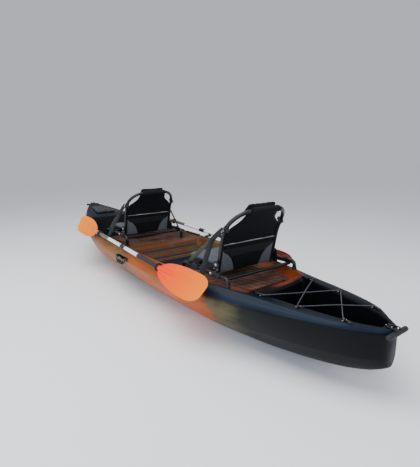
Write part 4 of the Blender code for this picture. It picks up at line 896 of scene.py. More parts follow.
seat = {
    "hinges": {"rear": -1.042, "front": 0.367}, "hingeZ": 0.445, "lean": math.atan(0.22), "tube": 0.0125,
    "halfWidth": 0.2228, "height": 0.350, "shoulder": 0.130, "tail": 0.065, "bendStart": 0.130, "bend": 1.60,
    "railY": 0.275, "railZ": 0.400, "legBack": 0.150, "legFront": 0.320, "corner": 0.034,
    "crossAt": (-0.105, 0.262), "crossZ": 0.385, "crossTube": 0.011,
    "seam": 0.122, "panelHalf": 0.2092, "panelThick": 0.0085, "meshBand": (0.036, 0.094),
    # half-width of the upper panel over its height, inside the arch of the hoop
    "arch": ((0.122, 0.2092), (0.200, 0.2085), (0.232, 0.190), (0.262, 0.150), (0.290, 0.130), (0.335, 0.121)),
    # where the side wings begin, from the bottom to the top
    "wing": ((-0.065, 0.098), (-0.008, 0.1175), (0.043, 0.150), (0.081, 0.2030), (0.094, 0.2085)),
    "cushion": (0.345, 0.400, 0.036), "cushionAt": (0.220, 0.4182), "channels": (-0.085, 0.015, 0.110),
    "crossChannels": (-0.105, 0.105), "clipsAt": (-0.075, 0.150), "lowBolt": 0.418,
    "headrest": (0.030, 0.232, 0.092), "headrestLevel": 0.328, "headrestOut": 0.0335,
    "strapLevel": 0.235, "strapFootX": 0.060, "strapRailX": 0.235, "lockShare": 0.32,
}


def bentBack(z):
    return -seat["bend"] * max(0.0, z - seat["bendStart"]) ** 2


def backTurn(x):
    # from the plane of the back, with the hinge at its origin, to its place on the boat
    return Matrix.Translation((x, 0, seat["hingeZ"])) @ Matrix.Rotation(-seat["lean"], 4, "Y")


def hoopPath():
    # up one side, round the shoulder, across the top and down again
    middleY, middleZ = seat["halfWidth"] - seat["shoulder"], seat["height"] - seat["shoulder"]
    half = [(seat["halfWidth"], -seat["tail"] + (middleZ + seat["tail"]) * step / 18) for step in range(18)]
    half += [(middleY + seat["shoulder"] * math.cos(math.pi / 2 * step / 16),
              middleZ + seat["shoulder"] * math.sin(math.pi / 2 * step / 16)) for step in range(17)]
    half += [(middleY * (1 - step / 6), seat["height"]) for step in range(1, 7)]
    whole = half + [(-y, z) for y, z in reversed(half[:-1])]
    return [Vector((bentBack(z), y, z)) for y, z in whole]


def backSheet(low, high, inner, outer, thick, crown=0.0, rows=14, columns=24):
    # a padded sheet in the plane of the back between two edge lines y(z)
    def place(u, v):
        z = low + (high - low) * (v + 1) / 2
        y = inner(z) + (outer(z) - inner(z)) * (u + 1) / 2
        return (bentBack(z) - crown * (1 - u * u) * (1 - v * v), y, z), (1, 0, 0)
    return pillow(rows, columns, place, thick, 0.10, 0.16)


def seamLine(points, radius=0.0016):
    # stitched piping that stands on the rear face of the back
    offset = -seat["panelThick"] / 2 - 0.0003
    route = []
    for (y1, z1), (y2, z2) in zip(points, points[1:]):
        route += [(y1 + (y2 - y1) * step / 6, z1 + (z2 - z1) * step / 6) for step in range(6)]
    route.append(points[-1])
    return tube([(bentBack(z) + offset, y, z) for y, z in route], radius, 10)


def webbingLoop(inner, outer, half, steps, axis="Z", centre=(0, 0, 0), bulge=0.0):
    # a band of webbing or plastic round a tube, crowned where it bulges
    crown = [(outer + bulge, 0.0)] if bulge else []
    return turned([(inner, -half), (outer, -half), *crown, (outer, half), (inner, half)], steps, axis, centre)


def addSeatBack(prefix, x):
    body, turn = prefix + "_seat_back", backTurn(x)

    def add(name, shape, material, slotName, replaces=()):
        return addPiece(f"{prefix}_{name}", moved(shape, turn), finishes[material], body, replaces)

    def wing(z):
        return ease(seat["wing"], z)

    hoop = sweep(hoopPath(), circle(seat["tube"], 20))
    add("back_hoop", hoop, "tube", "black_tube", (f"{prefix}_seat_back_hoop",))
    for side in (1, -1):  # plugs in the open ends of the hoop
        plug = turned([(0, -0.005), (0.009, -0.0045), (0.0135, -0.0015), (0.0137, 0.018), (0.0128, 0.0195),
                       (0.010, 0.0195), (0, 0.0195)], 24)
        bmesh.ops.translate(plug, vec=(0, side * seat["halfWidth"], -seat["tail"]), verts=plug.verts)
        add(f"hoop_plug_{side + 2}", plug, "rubber", "rubber")
        # strap loop and buckle on the shoulder of the hoop
        level = seat["strapLevel"]
        slope = -2 * seat["bend"] * (level - seat["bendStart"])
        angle = math.asin((level - seat["height"] + seat["shoulder"]) / seat["shoulder"])
        out = seat["halfWidth"] - seat["shoulder"] * (1 - math.cos(angle))
        centre = Vector((bentBack(level), side * out, level))
        along = Vector((slope, -side * math.sin(angle), math.cos(angle)))
        loop = mergeShapes(webbingLoop(0.0126, 0.0150, 0.011, 28, bulge=0.0006),
                           roundedBox((0.016, 0.018, 0.022), (0.0, -0.019, 0), 0.003))
        add(f"strap_loop_{side + 2}", moved(loop, facing(centre, along, (0, -side, 0))), "webbing", "webbing")
    panel = backSheet(seat["seam"] + 0.0015, seat["height"] - 0.004, lambda z: -ease(seat["arch"], z),
                      lambda z: ease(seat["arch"], z), seat["panelThick"], 0.004, 26, 40)
    add("back_panel", panel, "cloth", "seat_fabric", (f"{prefix}_seat_back_panel",))
    low, high = seat["meshBand"]
    bottom, edge = -seat["tail"] + 0.001, seat["panelHalf"]
    band = backSheet(low, high, lambda z: -wing(z), wing, 0.006, 0.001)
    add("back_mesh", band, "mesh", "seat_mesh", (f"{prefix}_seat_back_mesh",))
    lower = backSheet(bottom, low, lambda z: -wing(z), wing, 0.0075, 0.003)
    add("back_lower", lower, "cloth", "seat_fabric")
    upper = backSheet(high, seat["seam"], lambda z: -edge, lambda z: edge, 0.0075, 0.0, 10, 30)
    add("back_waist", upper, "cloth", "seat_fabric")
    for side in (1, -1):
        sheet = backSheet(bottom, high, lambda z: side * wing(z), lambda z: side * edge, 0.007, 0.001)
        add(f"back_wing_{side + 2}", sheet, "side", "seat_fabric")
        levels = (-0.064, -0.04, -0.015, 0.01, 0.035, 0.055, 0.07, 0.081, 0.093)
        border = [(side * wing(z), z) for z in levels]
        add(f"wing_seam_{side + 2}", seamLine(border), "binding", "seat_fabric")
    half = edge - 0.001
    piping = seamLine([(half, seat["seam"]), (-half, seat["seam"])], 0.0022)
    add("back_piping", piping, "piping", "seat_fabric")
    for name, level in (("band_seam_low", low), ("band_seam_high", high)):
        reach = min(wing(level), half)
        add(name, seamLine([(reach, level), (-reach, level)], 0.0013), "binding", "seat_fabric")
    arch = [(-ease(seat["arch"], z), z) for z in (0.124, 0.16, 0.2, 0.232, 0.25, 0.27, 0.29, 0.32)]
    for side in (1, -1):  # bound edges of the two openings under the arch
        binding = seamLine([(y * -side, z) for y, z in arch], 0.0028)
        add(f"arch_binding_{side + 2}", binding, "binding", "seat_fabric")
    # the headrest's sleeve over the top of the hoop, drawn in at its two ends
    reach = seat["headrest"][1] / 2
    crown = [point for point in hoopPath() if abs(point.y) < reach]
    scales = [0.86 + 0.14 * min(1, (reach - abs(point.y)) / 0.02) for point in crown]
    sleeve = sweep([point + Vector((-0.007, 0, 0.001)) for point in crown],
                   [(x * 0.0190, y * 0.0250) for x, y in circle(1.0, 24)], (1, 0, 0), scales)
    add("headrest_sleeve", sleeve, "cloth", "seat_fabric")


def headrestTurn():
    level = seat["headrestLevel"]
    slope = math.atan(2 * seat["bend"] * (level - seat["bendStart"]))
    return (Matrix.Translation((bentBack(level), 0, level)) @ Matrix.Rotation(-slope, 4, "Y")
            @ Matrix.Translation((seat["headrestOut"], 0, 0)))


def headrestShape():
    thick, width, height = seat["headrest"]
    block = roundedBox((thick * 0.7, width - 0.014, height - 0.014), bevel=0.009, segments=3)
    shape = inflated(block, 0.005, 0.010)
    for vert in shape.verts:  # two sewn channels down the pad
        for line in (-0.042, 0.042):
            vert.co.x -= math.copysign(0.0035 * bump(vert.co.y - line, 0.011), vert.co.x)
    return moved(shape, headrestTurn())


def cushionShape():
    length, width, thick = seat["cushion"]
    block = roundedBox((length - 0.012, width - 0.012, thick * 0.72), bevel=0.010, segments=3)
    for vert in block.verts:  # the sides pull in between the corners
        vert.co.x -= math.copysign(0.006 * bump(vert.co.y, width / 2), vert.co.x)
    shape = inflated(block, 0.006, 0.011)
    for vert in shape.verts:
        if vert.co.z > 0:
            press = sum(bump(vert.co.x - line, 0.014) for line in seat["channels"])
            press += sum(bump(vert.co.y - line, 0.014) for line in seat["crossChannels"])
            vert.co.z -= 0.005 * min(1.0, press) * min(1.0, (width / 2 - abs(vert.co.y)) / 0.03)
        vert.co.z = max(vert.co.z, 0.0008 - thick / 2 - 0.003)
    return shape


def addSeatBase(prefix, x):
    back, front, top = x - seat["legBack"], x + seat["legFront"], seat["railZ"]
    shape = bmesh.new()
    feet = bmesh.new()
    for side in (1, -1):
        y = side * seat["railY"]
        heights = [max(deckUnder(leg + dx, y + dy).translation.z for dx in (-0.012, 0, 0.012)
                       for dy in (-0.012, 0, 0.012)) + 0.0012 for leg in (back, front)]
        rail = [(back, y, heights[0]), (back, y, top), (front, y, top), (front, y, heights[1])]
        mergeShapes(shape, tube(rail, seat["tube"], 20, seat["corner"], 8))
        ferrule = [(0, -0.0008), (0.014, -0.0008), (0.0155, 0.0008), (0.0150, 0.016), (0.0142, 0.0175),
                   (0.0126, 0.0175), (0, 0.0174)]
        for leg, foot in zip((back, front), heights):
            mergeShapes(feet, turned(ferrule, 24, "Z", (leg, y, foot)))
    for offset in seat["crossAt"]:
        ends = [(x + offset, side * seat["railY"], seat["crossZ"]) for side in (1, -1)]
        mergeShapes(shape, tube(ends, seat["crossTube"], 18))
    addPiece(prefix + "_base_tubes", shape, finishes["tube"], "root",
             (prefix + "_seat_base",))
    addPiece(prefix + "_base_feet", feet, finishes["rubber"], "root")


def addSeatBrackets(prefix, x):
    for name, side in sides.items():
        refined(f"{prefix}_seat_bracket_{name}", finishes["nylon"], 0.0009)
        plate = side * (seat["halfWidth"] + seat["tube"] + 0.0075 + 0.006)  # its outer face
        railSide = side * (seat["railY"] + seat["tube"])
        bolts = bmesh.new()
        for y, z in ((plate, seat["hingeZ"]), (railSide, seat["railZ"] + 0.002)):
            mergeShapes(bolts, screwHead(facing((x, y, z), (0, side, 0)), 0.0075, 0.0045, 0.0105))
        for dx in (-0.016, 0.016):
            turn = facing((x + dx, plate, seat["lowBolt"]), (0, side, 0))
            mergeShapes(bolts, screwHead(turn, 0.0036, 0.002, 0.0052))
        addPiece(f"{prefix}_bracket_bolts_{name}", bolts, finishes["steel"], "root")
        # slide buckles on the rail, in front of and behind the bracket
        clips = bmesh.new()
        for place in seat["clipsAt"]:
            rail = Vector((x + place, side * seat["railY"], seat["railZ"]))
            turn = facing(rail + Vector((0, 0, 0.0165)), (0, 0, 1), (0, 1, 0))
            mergeShapes(clips, webbingLoop(0.0128, 0.0152, 0.010, 24, "X", rail, 0.0008),
                        buckle(turn, 0.026, 0.026, 0.004))
        addPiece(f"{prefix}_rail_clips_{name}", clips, finishes["nylon"], "root")


def addSeatStraps(prefix, x):
    body, level = prefix + "_seat_back", seat["strapLevel"]
    for name, side in sides.items():
        top = backTurn(x) @ Vector((bentBack(level), side * (seat["halfWidth"] + seat["tube"] + 0.006), level))
        footX = x + seat["strapFootX"]
        inner, outer, _ = rimAt(footX)
        footY = side * max((inner + outer) / 2, seat["railY"] + 0.0305)
        foot = Vector((footX, footY, deckUnder(footX, footY).translation.z + 0.014))
        rail = Vector((x + seat["strapRailX"], side * (seat["railY"] + 0.004), seat["railZ"] + 0.0215))
        lock = top.lerp(rail, seat["lockShare"])
        up = (rail - top).cross(foot - top).normalized() * side
        outward = Vector((-0.75, side * 0.65, 0.1)).normalized()
        parts = {"shoulder": (top, lock, "webbing", 0.0024, 0.030, ()),
                 "rail": (lock, rail, "olive", 0.0016, 0.025, ()),
                 "foot": (lock, foot, "webbing", 0.0020, 0.030, (f"{prefix}_seat_strap_{name}",))}
        for part, (start, end, material, thick, width, replaces) in parts.items():
            path = [start.lerp(end, step / 24) + up * (0.003 * math.sin(math.pi * step / 24))
                    for step in range(25)]  # the webbing bows a little
            piece = addPiece(f"{prefix}_strap_{part}_{name}", sweep(path, ribbon(width, thick), outward),
                             finishes[material], None, replaces)
            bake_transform(piece)
        run = (top - rail).normalized()
        lockShape = buckle(facing(lock + up * 0.001, up, run.cross(up)), 0.030, 0.036, 0.006)
        piece = addPiece(f"{prefix}_strap_lock_{name}", lockShape, finishes["nylon"], None)
        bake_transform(piece)
        shoulder = buckle(facing(top + run * -0.012, up, run.cross(up)), 0.028, 0.024, 0.005)
        addPiece(f"{prefix}_shoulder_buckle_{name}", shoulder, finishes["steel"], body)
        # eye where the strap meets the rim, and the loop on the rail
        arch = [(-0.010, 0, 0.003), (-0.010, 0, 0.0125), (0.010, 0, 0.0125), (0.010, 0, 0.003)]
        base = roundedBox((0.030, 0.016, 0.0035), (0, 0, 0.0022), 0.0012)
        eye = moved(mergeShapes(base, tube(arch, 0.0022, 12, 0.006)), deckUnder(foot.x, foot.y))
        addPiece(f"{prefix}_strap_eye_{name}", eye, finishes["nylon"], "root")
        turn = facing(rail - Vector((0, 0, 0.004)), (0, 0, 1), (0, 1, 0))
        keep = webbingLoop(0.0127, 0.0146, 0.011, 28, "X", (rail.x, side * seat["railY"], seat["railZ"]))
        mergeShapes(keep, buckle(turn, 0.028, 0.020, 0.005))
        addPiece(f"{prefix}_rail_loop_{name}", keep, finishes["webbing"], "root")


def addSeats():
    headrest, cushion = headrestShape(), cushionShape()
    for prefix, x in seat["hinges"].items():
        addSeatBase(prefix, x)
        addSeatBack(prefix, x)
        addSeatBrackets(prefix, x)
        addSeatStraps(prefix, x)
        pad = addPiece(prefix + "_headrest", moved(headrest.copy(), backTurn(x)), finishes["cloth"],
                       prefix + "_seat_back", (prefix + "_seat_headrest",), 0)
        forward, level = seat["cushionAt"]
        place = Matrix.Translation((x + forward, 0, level))
        pad = addPiece(prefix + "_cushion", moved(cushion.copy(), place), finishes["cushion"], "root",
                       (prefix + "_seat_cushion",), 0)
    headrest.free()
    cushion.free()


addSeats()
print("seats ready")

# ---- paddles

paddle = {
    "shaft": 0.0145, "half": 0.625, "bladeLength": 0.510, "bladeWidth": 0.182, "neck": 0.013, "thick": 0.004,
    "aftTilt": math.radians(43), "foreTilt": math.radians(62), "whiteFrom": -0.285, "whiteTo": 0.300,
    "gripTo": -0.585, "dripAt": (-0.600, 0.520), "ribGap": 0.006, "joint": 0.0002,
    "widest": 0.56, "spoon": 0.016, "tipLift": 0.010, "socket": 0.0172,
}
# one orange plastic on every blade; each blade's root and tip shades are painted light and shade, the starboard
# aft blade painted darkest
bladeColoursWithPaintedLight = {
    ("port", "aft"): ("#FF3404", "#FF8400"), ("port", "fore"): ("#FF7A06", "#FF9400"),
    ("starboard", "aft"): ("#C82404", "#B01E02"), ("starboard", "fore"): ("#FF6E06", "#FF8400"),
}


def bladeHalf(t):
    # half the blade's width, from its root at 0 to its tip at 1
    widest = paddle["widest"]
    swell = math.sin(math.pi / 2 * min(t, widest) / widest) ** 0.46
    close = math.sqrt(max(0.0, 1 - (max(0.0, t - widest) / 0.432) ** 4.5))
    return paddle["neck"] + (paddle["bladeWidth"] / 2 - paddle["neck"]) * swell * close


def bladeShape():
    # spooned, with a thick spine that fades out, a crease on each side of it and a thin rim
    def place(u, v):
        t = 0.49 + 0.49 * v
        half = bladeHalf(t) * 0.985
        across = half * u
        spoon = paddle["spoon"] * math.sin(math.pi * t) ** 2 - paddle["tipLift"] * t
        fan = 0.016 + 0.050 * t  # the two creases beside the spine spread towards the tip
        spine = (0.0060 * bump(across, 0.012) - 0.0050 * bump(abs(across) - fan, 0.013)) * (1 - t)
        crease = 0.0022 * bump(abs(across) - half * 0.55, 0.014) * bump(t - 0.5, 0.45)
        return (t * paddle["bladeLength"], across, 0.055 * half * u * u - spoon - spine + crease), (0, 0, 1)
    shape = pillow(40, 30, place, paddle["thick"] + 0.0006, 0.07, 0.03)
    # socket that the shaft is glued in, fading into the blade
    path = []
    for x in (-0.040 + 0.24 * step / 24 for step in range(25)):
        share = max(0, x) / paddle["bladeLength"]
        spoon = paddle["spoon"] * math.sin(math.pi * share) ** 2 - paddle["tipLift"] * share
        path.append((x, 0, -spoon - 0.001 * (x > 0.05)))
    scales = [1.0 if step < 5 else (1 - ((step - 4) / 20) ** 1.2 * 0.93) for step in range(25)]
    socket = sweep(path, [(x, y * 0.92) for x, y in circle(paddle["socket"], 24)], scales=scales)
    return mergeShapes(shape, socket)


def shaftPart(low, high, radius, ribs=0):
    # a sleeve along the shaft with eased ends, ribbed like a grip where ribs is set
    profile = [(0, low), (radius - 0.0008, low), (radius, low + 0.0008)]
    if ribs:
        count = int((high - low - 0.01) / ribs)
        for i in range(count):
            at = low + 0.005 + i * ribs
            profile += [(radius, at), (radius - 0.0009, at + ribs * 0.3),
                        (radius - 0.0009, at + ribs * 0.45), (radius, at + ribs * 0.75)]
    return turned(profile + [(radius, high - 0.0008), (radius - 0.0008, high), (0, high)], 28, "X")


def addPaddle(name, side):
    radius, half, gap = paddle["shaft"], paddle["half"], paddle["joint"]
    feather = joints[f"{name}_paddle_feather"]
    middle, along = Vector(feather["pos_m"]), Vector(feather["axis"]) * side
    slope = math.atan2(along.z, along.x)
    turn = Matrix.Translation(middle) @ Matrix.Rotation(-slope, 4, "Y")
    aft, fore = f"{name}_paddle", f"{name}_paddle_fore_half"

    def add(piece, shape, material, body, slotName, *replaces):
        addPiece(f"{name}_{piece}", moved(shape, turn), finishes[material], body, replaces)

    start, end, gripTo = paddle["whiteFrom"], paddle["whiteTo"], paddle["gripTo"]
    add("aft_shaft_tube", shaftPart(start, -gap, radius), "shaft", aft, "shaft_white", f"{aft}_aft_shaft")
    add("fore_shaft_tube", shaftPart(gap, end, radius), "shaft", fore, "shaft_white", f"{aft}_fore_shaft")
    sleeve = shaftPart(gripTo, start - gap, radius + 0.0013, paddle["ribGap"])
    add("grip_sleeve", sleeve, "grip", aft, "rubber")
    add("aft_tip_tube", shaftPart(-half, gripTo, radius - 0.0006), "darkShaft", aft, "shaft_white")
    add("fore_sleeve", shaftPart(end, half, radius + 0.0003), "darkShaft", fore, "shaft_white")
    for body, low, high in ((aft, -0.052, -0.0012), (fore, 0.0012, 0.030)):
        collar = shaftPart(low, high, radius + 0.0022)
        for edge in (low + 0.006, high - 0.006):
            mergeShapes(collar, shaftPart(edge - 0.002, edge + 0.002, radius + 0.0031))
        add("ferrule_" + body.split("_")[-1], collar, "nylon", body, "black_plastic")
    button = screwHead(facing((-0.028, 0, radius + 0.0018), (0, 0, 1)), 0.0045, 0.0026)
    add("ferrule_button", button, "steel", aft, "black_plastic")
    for body, place in zip((aft, fore), paddle["dripAt"]):
        ring = [(radius + out, level) for out, level in (
            (-0.001, -0.011), (0.003, -0.011), (0.0035, -0.003), (0.013, 0.000), (0.0145, 0.0035),
            (0.0125, 0.0040), (0.0035, 0.0025), (0.003, 0.011), (-0.001, 0.011))]
        add("drip_ring_" + body.split("_")[-1], turned(ring, 32, "X", (place, 0, 0)), "rubber", body, "rubber")
    blades = (("fore", fore, half, Matrix.Rotation(-side * paddle["foreTilt"], 4, "X")),
              ("aft", aft, -half, Matrix.Rotation(math.pi, 4, "Z")
               @ Matrix.Rotation(side * paddle["aftTilt"], 4, "X")))
    for end, body, reach, tilt in blades:
        place = turn @ Matrix.Translation((reach, 0, 0)) @ tilt
        root, tip = place.translation.x, (place @ Vector((paddle["bladeLength"], 0, 0))).x
        plastic = bladePlastic(f"{name}{end.title()}Polypropylene", *bladeColoursWithPaintedLight[name, end], root, tip)
        addPiece(f"{name}_{end}_blade", moved(bladeShape(), place), plastic, body,
                 (f"{aft}_{end}_blade",), 0)


for name, side in sides.items():
    addPaddle(name, side)
print("paddles ready")

# ---- foam mats, quilted in diamonds

mat = {"thick": 0.004, "pitch": 0.060, "lean": math.radians(52), "squeeze": 0.55, "turn": math.radians(12),
       "groove": 0.0105, "depth": 0.0018, "margin": 0.005, "halfWidth": 0.2575, "corner": 0.03,
       "spans": {"rear": (-1.23, -0.715), "front": (0.175, 0.695)}}


def addMat(prefix, start, end):
    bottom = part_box(prefix + "_seat_mat")[0][2]
    outline = [(x, min(0.84 * ease(hull["rimInner"], x) - mat["margin"], mat["halfWidth"])) for x in (start, end)]
    corners = [(x, y, 0) for x, y in outline] + [(x, -y, 0) for x, y in reversed(outline)]
    rounded = roundedPath(corners, mat["corner"], 4, closed=True)
    shape = bmesh.new()
    groove = shape.verts.layers.float.new("groove")
    bmesh.ops.create_grid(shape, x_segments=20, y_segments=20, size=mat["pitch"] * 10)
    skew = Matrix(((1, math.cos(mat["lean"]) * mat["squeeze"], 0), (0, math.sin(mat["lean"]), 0),
                   (0, 0, 1))).to_4x4()
    middle = Vector(((start + end) / 2, 0, 0))
    moved(shape, Matrix.Translation(middle) @ Matrix.Rotation(mat["turn"], 4, "Z") @ skew)
    for here, after in zip(rounded, rounded[1:] + rounded[:1]):  # cut to the outline, side by side
        across = (after - here).cross(Vector((0, 0, 1)))
        if across.length < mergeGap / 10:
            continue
        if across.dot(here - middle) < 0:
            across.negate()
        bmesh.ops.bisect_plane(shape, geom=shape.verts[:] + shape.edges[:] + shape.faces[:], plane_co=here,
                               plane_no=across, clear_outer=True, dist=mergeGap)
    tops = list(shape.faces)
    bmesh.ops.inset_individual(shape, faces=tops, thickness=mat["groove"] / 2, depth=0.0)
    raised = {vert for face in tops for vert in face.verts}
    # the groove attribute marks the recesses that the foam material paints dark as shade
    for vert in shape.verts:
        vert[groove] = float(vert not in raised)
    bmesh.ops.translate(shape, vec=(0, 0, mat["depth"]), verts=list(raised))
    bmesh.ops.translate(shape, vec=(0, 0, bottom + mat["thick"] - mat["depth"]), verts=shape.verts)
    rim = [edge for edge in shape.edges if edge.is_boundary]
    skirt = bmesh.ops.extrude_edge_only(shape, edges=rim)["geom"]
    for vert in skirt:
        if isinstance(vert, bmesh.types.BMVert):
            vert.co.z = bottom
            vert[groove] = 0.0
    bmesh.ops.holes_fill(shape, edges=[edge for edge in shape.edges if edge.is_boundary], sides=0)
    bmesh.ops.recalc_face_normals(shape, faces=shape.faces)
    addPiece(prefix + "_mat_quilted", shape, finishes["foam"], "root",
             (prefix + "_seat_mat",), 25)


for prefix, span in mat["spans"].items():
    addMat(prefix, *span)
print("mats ready")

# ---- lines, eyes and handles

rigging = {
    "radius": 0.0025, "eyeRise": 0.0045, "eyeStep": 0.0065, "toggleHalf": 0.0755, "toggleRadius": 0.012,
    "loopRadius": 0.003, "loopHalf": 0.018, "loopLow": -0.0077, "reach": 0.0165, "drop": 0.020,
    "anchor": 0.022, "handleX": -0.060, "mountScrews": (-0.083, -0.045, 0.045, 0.083), "gripRibs": 9,
    "ribGap": 0.0095, "trackScrews": (-0.075, 0, 0.075), "trackHalf": 0.103, "plateX": 0.40,
}


def eyeFoot(name):
    low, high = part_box(name)
    return Vector(((low[0] + high[0]) / 2, (low[1] + high[1]) / 2, low[2]))


def addBungees():
    spots = {}
    for name, side in sides.items():
        for number in range(1, 4):
            node = f"{name}_bungee_eye_{number}"
            foot = eyeFoot(node)
            refined(node, finishes["nylon"], 0.0005)
            heads = mergeShapes(*(screwHead(Matrix.Translation(foot + Vector((0, dy, 0.0028))), 0.0030, 0.0018)
                                  for dy in (-0.0125, 0.0125)))
            addPiece(f"{node}_screws", heads, finishes["steel"], "root")
            spots[side, number] = foot + Vector((0, 0, rigging["eyeRise"]))
    lift, step = Vector((0, 0, 2.6 * rigging["radius"])), Vector((rigging["eyeStep"], 0, 0))
    for side, name in ((1, "first"), (-1, "second")):
        over = lift if side < 0 else Vector()  # the second line passes over the first
        start, turn, end = spots[side, 1], spots[-side, 2], spots[side, 3]
        route = [start, start - step, (start + turn) / 2 + over, turn + step, turn - step,
                 (turn + end) / 2 + over, end + step, end]
        cord = tube(route, rigging["radius"], 14, 0.012, 8)
        addPiece(f"{name}_well_line", cord, finishes["bungee"], "root", (f"{name}_tank_well_bungee",))
        # a crimp and a hook at each end of the line
        crimp = [(0, -0.011), (0.0040, -0.011), (0.0046, -0.009), (0.0046, -0.004), (0.0040, -0.003),
                 (0.0040, 0.001), (0.0046, 0.002), (0.0046, 0.008), (0.0036, 0.011), (0, 0.011)]
        bends = ((0.024, 0, 0), (0.036, 0, 0), (0.040, 0.010, 0.002), (0.030, 0.015, 0.002),
                 (0.024, 0.012, 0.002))
        ends = bmesh.new()
        for point, ahead in ((start, step.normalized()), (end, -step.normalized())):
            hook = tube([point + ahead * x + Vector((0, y, z)) for x, y, z in bends], 0.0022, 12, 0.006)
            mergeShapes(ends, turned(crimp, 20, "X", point + ahead * 0.016), hook)
        addPiece(f"{name}_line_hooks", ends, finishes["nylon"], "root")


def addEndHandle(end, name):
    eye = f"{name}_handle_eye"
    axis = Vector(joints[f"{name}_handle_swing"]["pos_m"])
    refined(eye, finishes["nylon"], 0.0005)
    ground = deckUnder(end * (hull["halfLength"] - rigging["anchor"]), 0.0)
    heads = mergeShapes(*(screwHead(ground @ Matrix.Translation((dx, 0, 0.0035)), 0.0028, 0.0018)
                          for dx in (-0.0125, 0.0125)))
    addPiece(eye + "_screws", heads, finishes["steel"], "root")
    out = end * (hull["halfLength"] + rigging["reach"]) - axis.x
    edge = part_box(f"{name}_handle_cord")[1][2] - axis.z - rigging["loopRadius"]
    half, low = rigging["loopHalf"], rigging["loopLow"]
    loop = [(out, half, low), (out, half, edge), (0, half, 0)]
    loop += [(x, -y, z) for x, y, z in reversed(loop)]
    cord = tube([axis + Vector(point) for point in roundedPath(loop, 0.010, 8)], rigging["loopRadius"], 14)
    body = f"{name}_handle"
    addPiece(f"{name}_pull_cord", cord, finishes["cord"], body, (f"{name}_handle_cord",))
    knot = [(0, -0.004), (0.0042, -0.0035), (0.0052, 0), (0.0042, 0.0035), (0, 0.004)]
    knots = mergeShapes(*(turned(knot, 18, "Z", axis + Vector((out, side * half, low + 0.001)))
                          for side in (1, -1)))
    addPiece(f"{name}_pull_knots", knots, finishes["cord"], body)
    radius, length = rigging["toggleRadius"], rigging["toggleHalf"]
    profile = [(0, -length), (radius * 0.62, -length), (radius * 0.9, 0.0018 - length),
               (radius, 0.006 - length), (radius, -0.034), (radius * 0.88, -0.0305),
               (radius * 0.88, -0.0285), (radius, -0.026)]
    ribs = [(radius * share, -0.022 + 0.0088 * i + offset) for i in range(6)
            for share, offset in ((1.0, -0.0028), (0.93, -0.0012), (0.93, 0.0012), (1.0, 0.0028))]
    profile += ribs + [(r, -z) for r, z in reversed(profile)]
    grip = turned(profile, 28, "Y", axis + Vector((out, 0, -rigging["drop"])))
    addPiece(f"{name}_pull_grip", grip, finishes["grip"], body, (f"{name}_handle_grip",))


def addSideFittings(name, side):
    x, (_, y, z) = rigging["handleX"], joints[f"{name}_handle_swing"]["pos_m"]
    handle = f"{name}_side_handle"
    refined(f"{name}_handle_mount", finishes["nylon"], 0.0008)
    normal = Vector((0, side, 1.15)).normalized()
    heads = bmesh.new()
    for dx in rigging["mountScrews"]:
        point = Vector((x + dx, y, z)) - normal * 0.0118
        mergeShapes(heads, screwHead(facing(point, normal), 0.0032, 0.002, 0.0048))
    addPiece(f"{name}_mount_screws", heads, finishes["steel"], "root")
    refined(handle, finishes["nylon"], 0.0006)
    centre = Vector((x, y + side * 0.010, z - 0.036))
    ribs = bmesh.new()
    for i in range(rigging["gripRibs"]):
        at = (i - rigging["gripRibs"] // 2) * rigging["ribGap"]
        rib = [(0.0118, at - 0.0024), (0.0134, at - 0.0014), (0.0134, at + 0.0014), (0.0118, at + 0.0024)]
        mergeShapes(ribs, turned(rib, 24, "X", centre))
    addPiece(f"{name}_grip_ribs", ribs, finishes["rubber"], handle)
    # paddle keeper on the rim
    keeper = f"{name}_paddle_keeper"
    refined(keeper, finishes["nylon"], 0.0008)
    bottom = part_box(keeper)[0][2]
    y = side * ((rimAt(x)[0] + rimAt(x)[1]) / 2 - 0.010)
    heads = mergeShapes(*(screwHead(Matrix.Translation((x + dx, y, bottom + 0.0058)), 0.0034, 0.002, 0.0)
                          for dx in (-0.009, 0.009)))
    addPiece(f"{name}_keeper_screws", heads, finishes["steel"], "root")
    # gear track
    track = f"{name}_gear_track"
    refined(track, finishes["gloss"], 0.0006)
    low, high = (Vector(corner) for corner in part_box(track))
    x, y = (low.x + high.x) / 2, (low.y + high.y) / 2
    heads = mergeShapes(*(screwHead(Matrix.Translation((x + dx, y, low.z + 0.0030)), 0.0036, 0.0018)
                          for dx in rigging["trackScrews"]))
    addPiece(f"{name}_track_screws", heads, finishes["steel"], "root")
    caps = mergeShapes(*(roundedBox((0.007, 0.0285, 0.0108), (x + dx, y, low.z + 0.0052), 0.0018)
                         for dx in (-rigging["trackHalf"], rigging["trackHalf"])))
    addPiece(f"{name}_track_caps", caps, finishes["nylon"], "root")


def addSlabs():
    # raised accessory plates on the rims, each with two covered mounting holes
    cover = [(0, 0.0070), (0.013, 0.0070), (0.0135, 0.0095), (0.0115, 0.0110), (0.004, 0.0112),
             (0.0035, 0.0100), (0, 0.0100)]
    x = rigging["plateX"]
    inner, outer, _ = rimAt(x)
    for name, side in sides.items():
        plate = roundedBox((0.110, 0.046, 0.008), (0, 0, 0.0036), 0.003, 3)
        for dx in (-0.034, 0.034):
            mergeShapes(plate, turned(cover, 24, "Z", (dx, 0, 0)))
        moved(plate, deckUnder(x, side * (inner + outer) / 2))
        addPiece(f"{name}_accessory_plate", plate, finishes["gloss"], "root")


addBungees()
for end, name in ((-1, "stern"), (1, "bow")):
    addEndHandle(end, name)
for name, side in sides.items():
    addSideFittings(name, side)
addSlabs()
print("lines and handles ready")

# ---- bow hatch, drain plug and drain holes

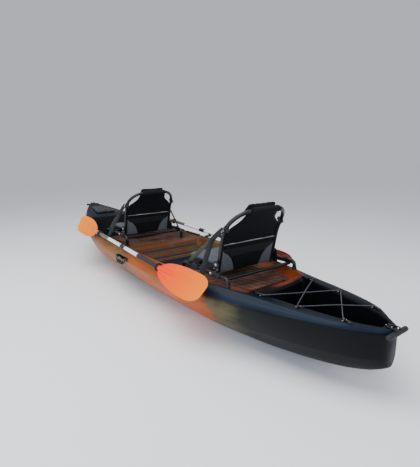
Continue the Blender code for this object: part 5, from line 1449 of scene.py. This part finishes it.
lid = {"length": 0.320, "top": 0.0052, "inset": 0.022, "hingeHalf": 0.052, "farHalf": 0.092,
       "corner": 0.036, "bead": 0.0042, "ribs": (-0.035, 0.0, 0.035)}


def addHatch():
    hinge = Vector(joints["hatch_lid_hinge"]["pos_m"])
    up = Vector(joints["hatch_latch_turn"]["axis"])
    place = facing(hinge, up)
    refined("hatch_gasket", finishes["rubber"], 0.0005)
    refined("hatch_hinge", finishes["nylon"], 0.0008)
    refined("hatch_latch", finishes["gloss"], 0.0009)
    refined("drain_plug", finishes["gloss"], 0.0006)
    refined("hatch_lid", finishes["lid"], 0.0024)
    # raised border and ribs moulded on the lid
    top, near, far = lid["top"], -lid["inset"], -lid["length"] * 0.955
    border = [(near, lid["hingeHalf"], top), (near, -lid["hingeHalf"], top),
              (far, -lid["farHalf"], top), (far, lid["farHalf"], top)]
    path = roundedPath(border, lid["corner"], 8, closed=True)
    path.append(path[0])
    bead = [(x, y * 0.6) for x, y in circle(lid["bead"], 12)]
    trim = sweep([place @ point for point in path], bead, up=up)
    for y in lid["ribs"]:
        rib = roundedBox((0.150, 0.006, 0.004), (-0.120, y, top + 0.0005), 0.0017)
        mergeShapes(trim, moved(rib, place))
    addPiece("lid_border", trim, finishes["lid"], "hatch_lid")
    screws = mergeShapes(*(screwHead(place @ Matrix.Translation((0.016, dy, -0.0028)), 0.0032, 0.002)
                           for dy in (-0.036, 0, 0.036)))
    addPiece("hatch_hinge_screws", screws, finishes["steel"], "root")


def addScupperRims():
    # flared mouths of the drain holes in the wells and footwells
    flare = [(0.0122, -0.002), (0.0122, 0.0012), (0.0132, 0.0022), (0.0165, 0.0016),
             (0.0190, -0.0004), (0.0190, -0.002)]
    for number, (x, y) in enumerate(hull["scuppers"]):
        rims = bmesh.new()
        for side in (1, -1):
            ground = deckUnder(x + 0.03, side * y).translation.z
            mergeShapes(rims, turned(flare, 32, "Z", (x, side * y, ground)))
        addPiece(f"scupper_rims_{number + 1}", rims, finishes["gloss"], "root")


addHatch()
addScupperRims()
print("hatch and drains ready")
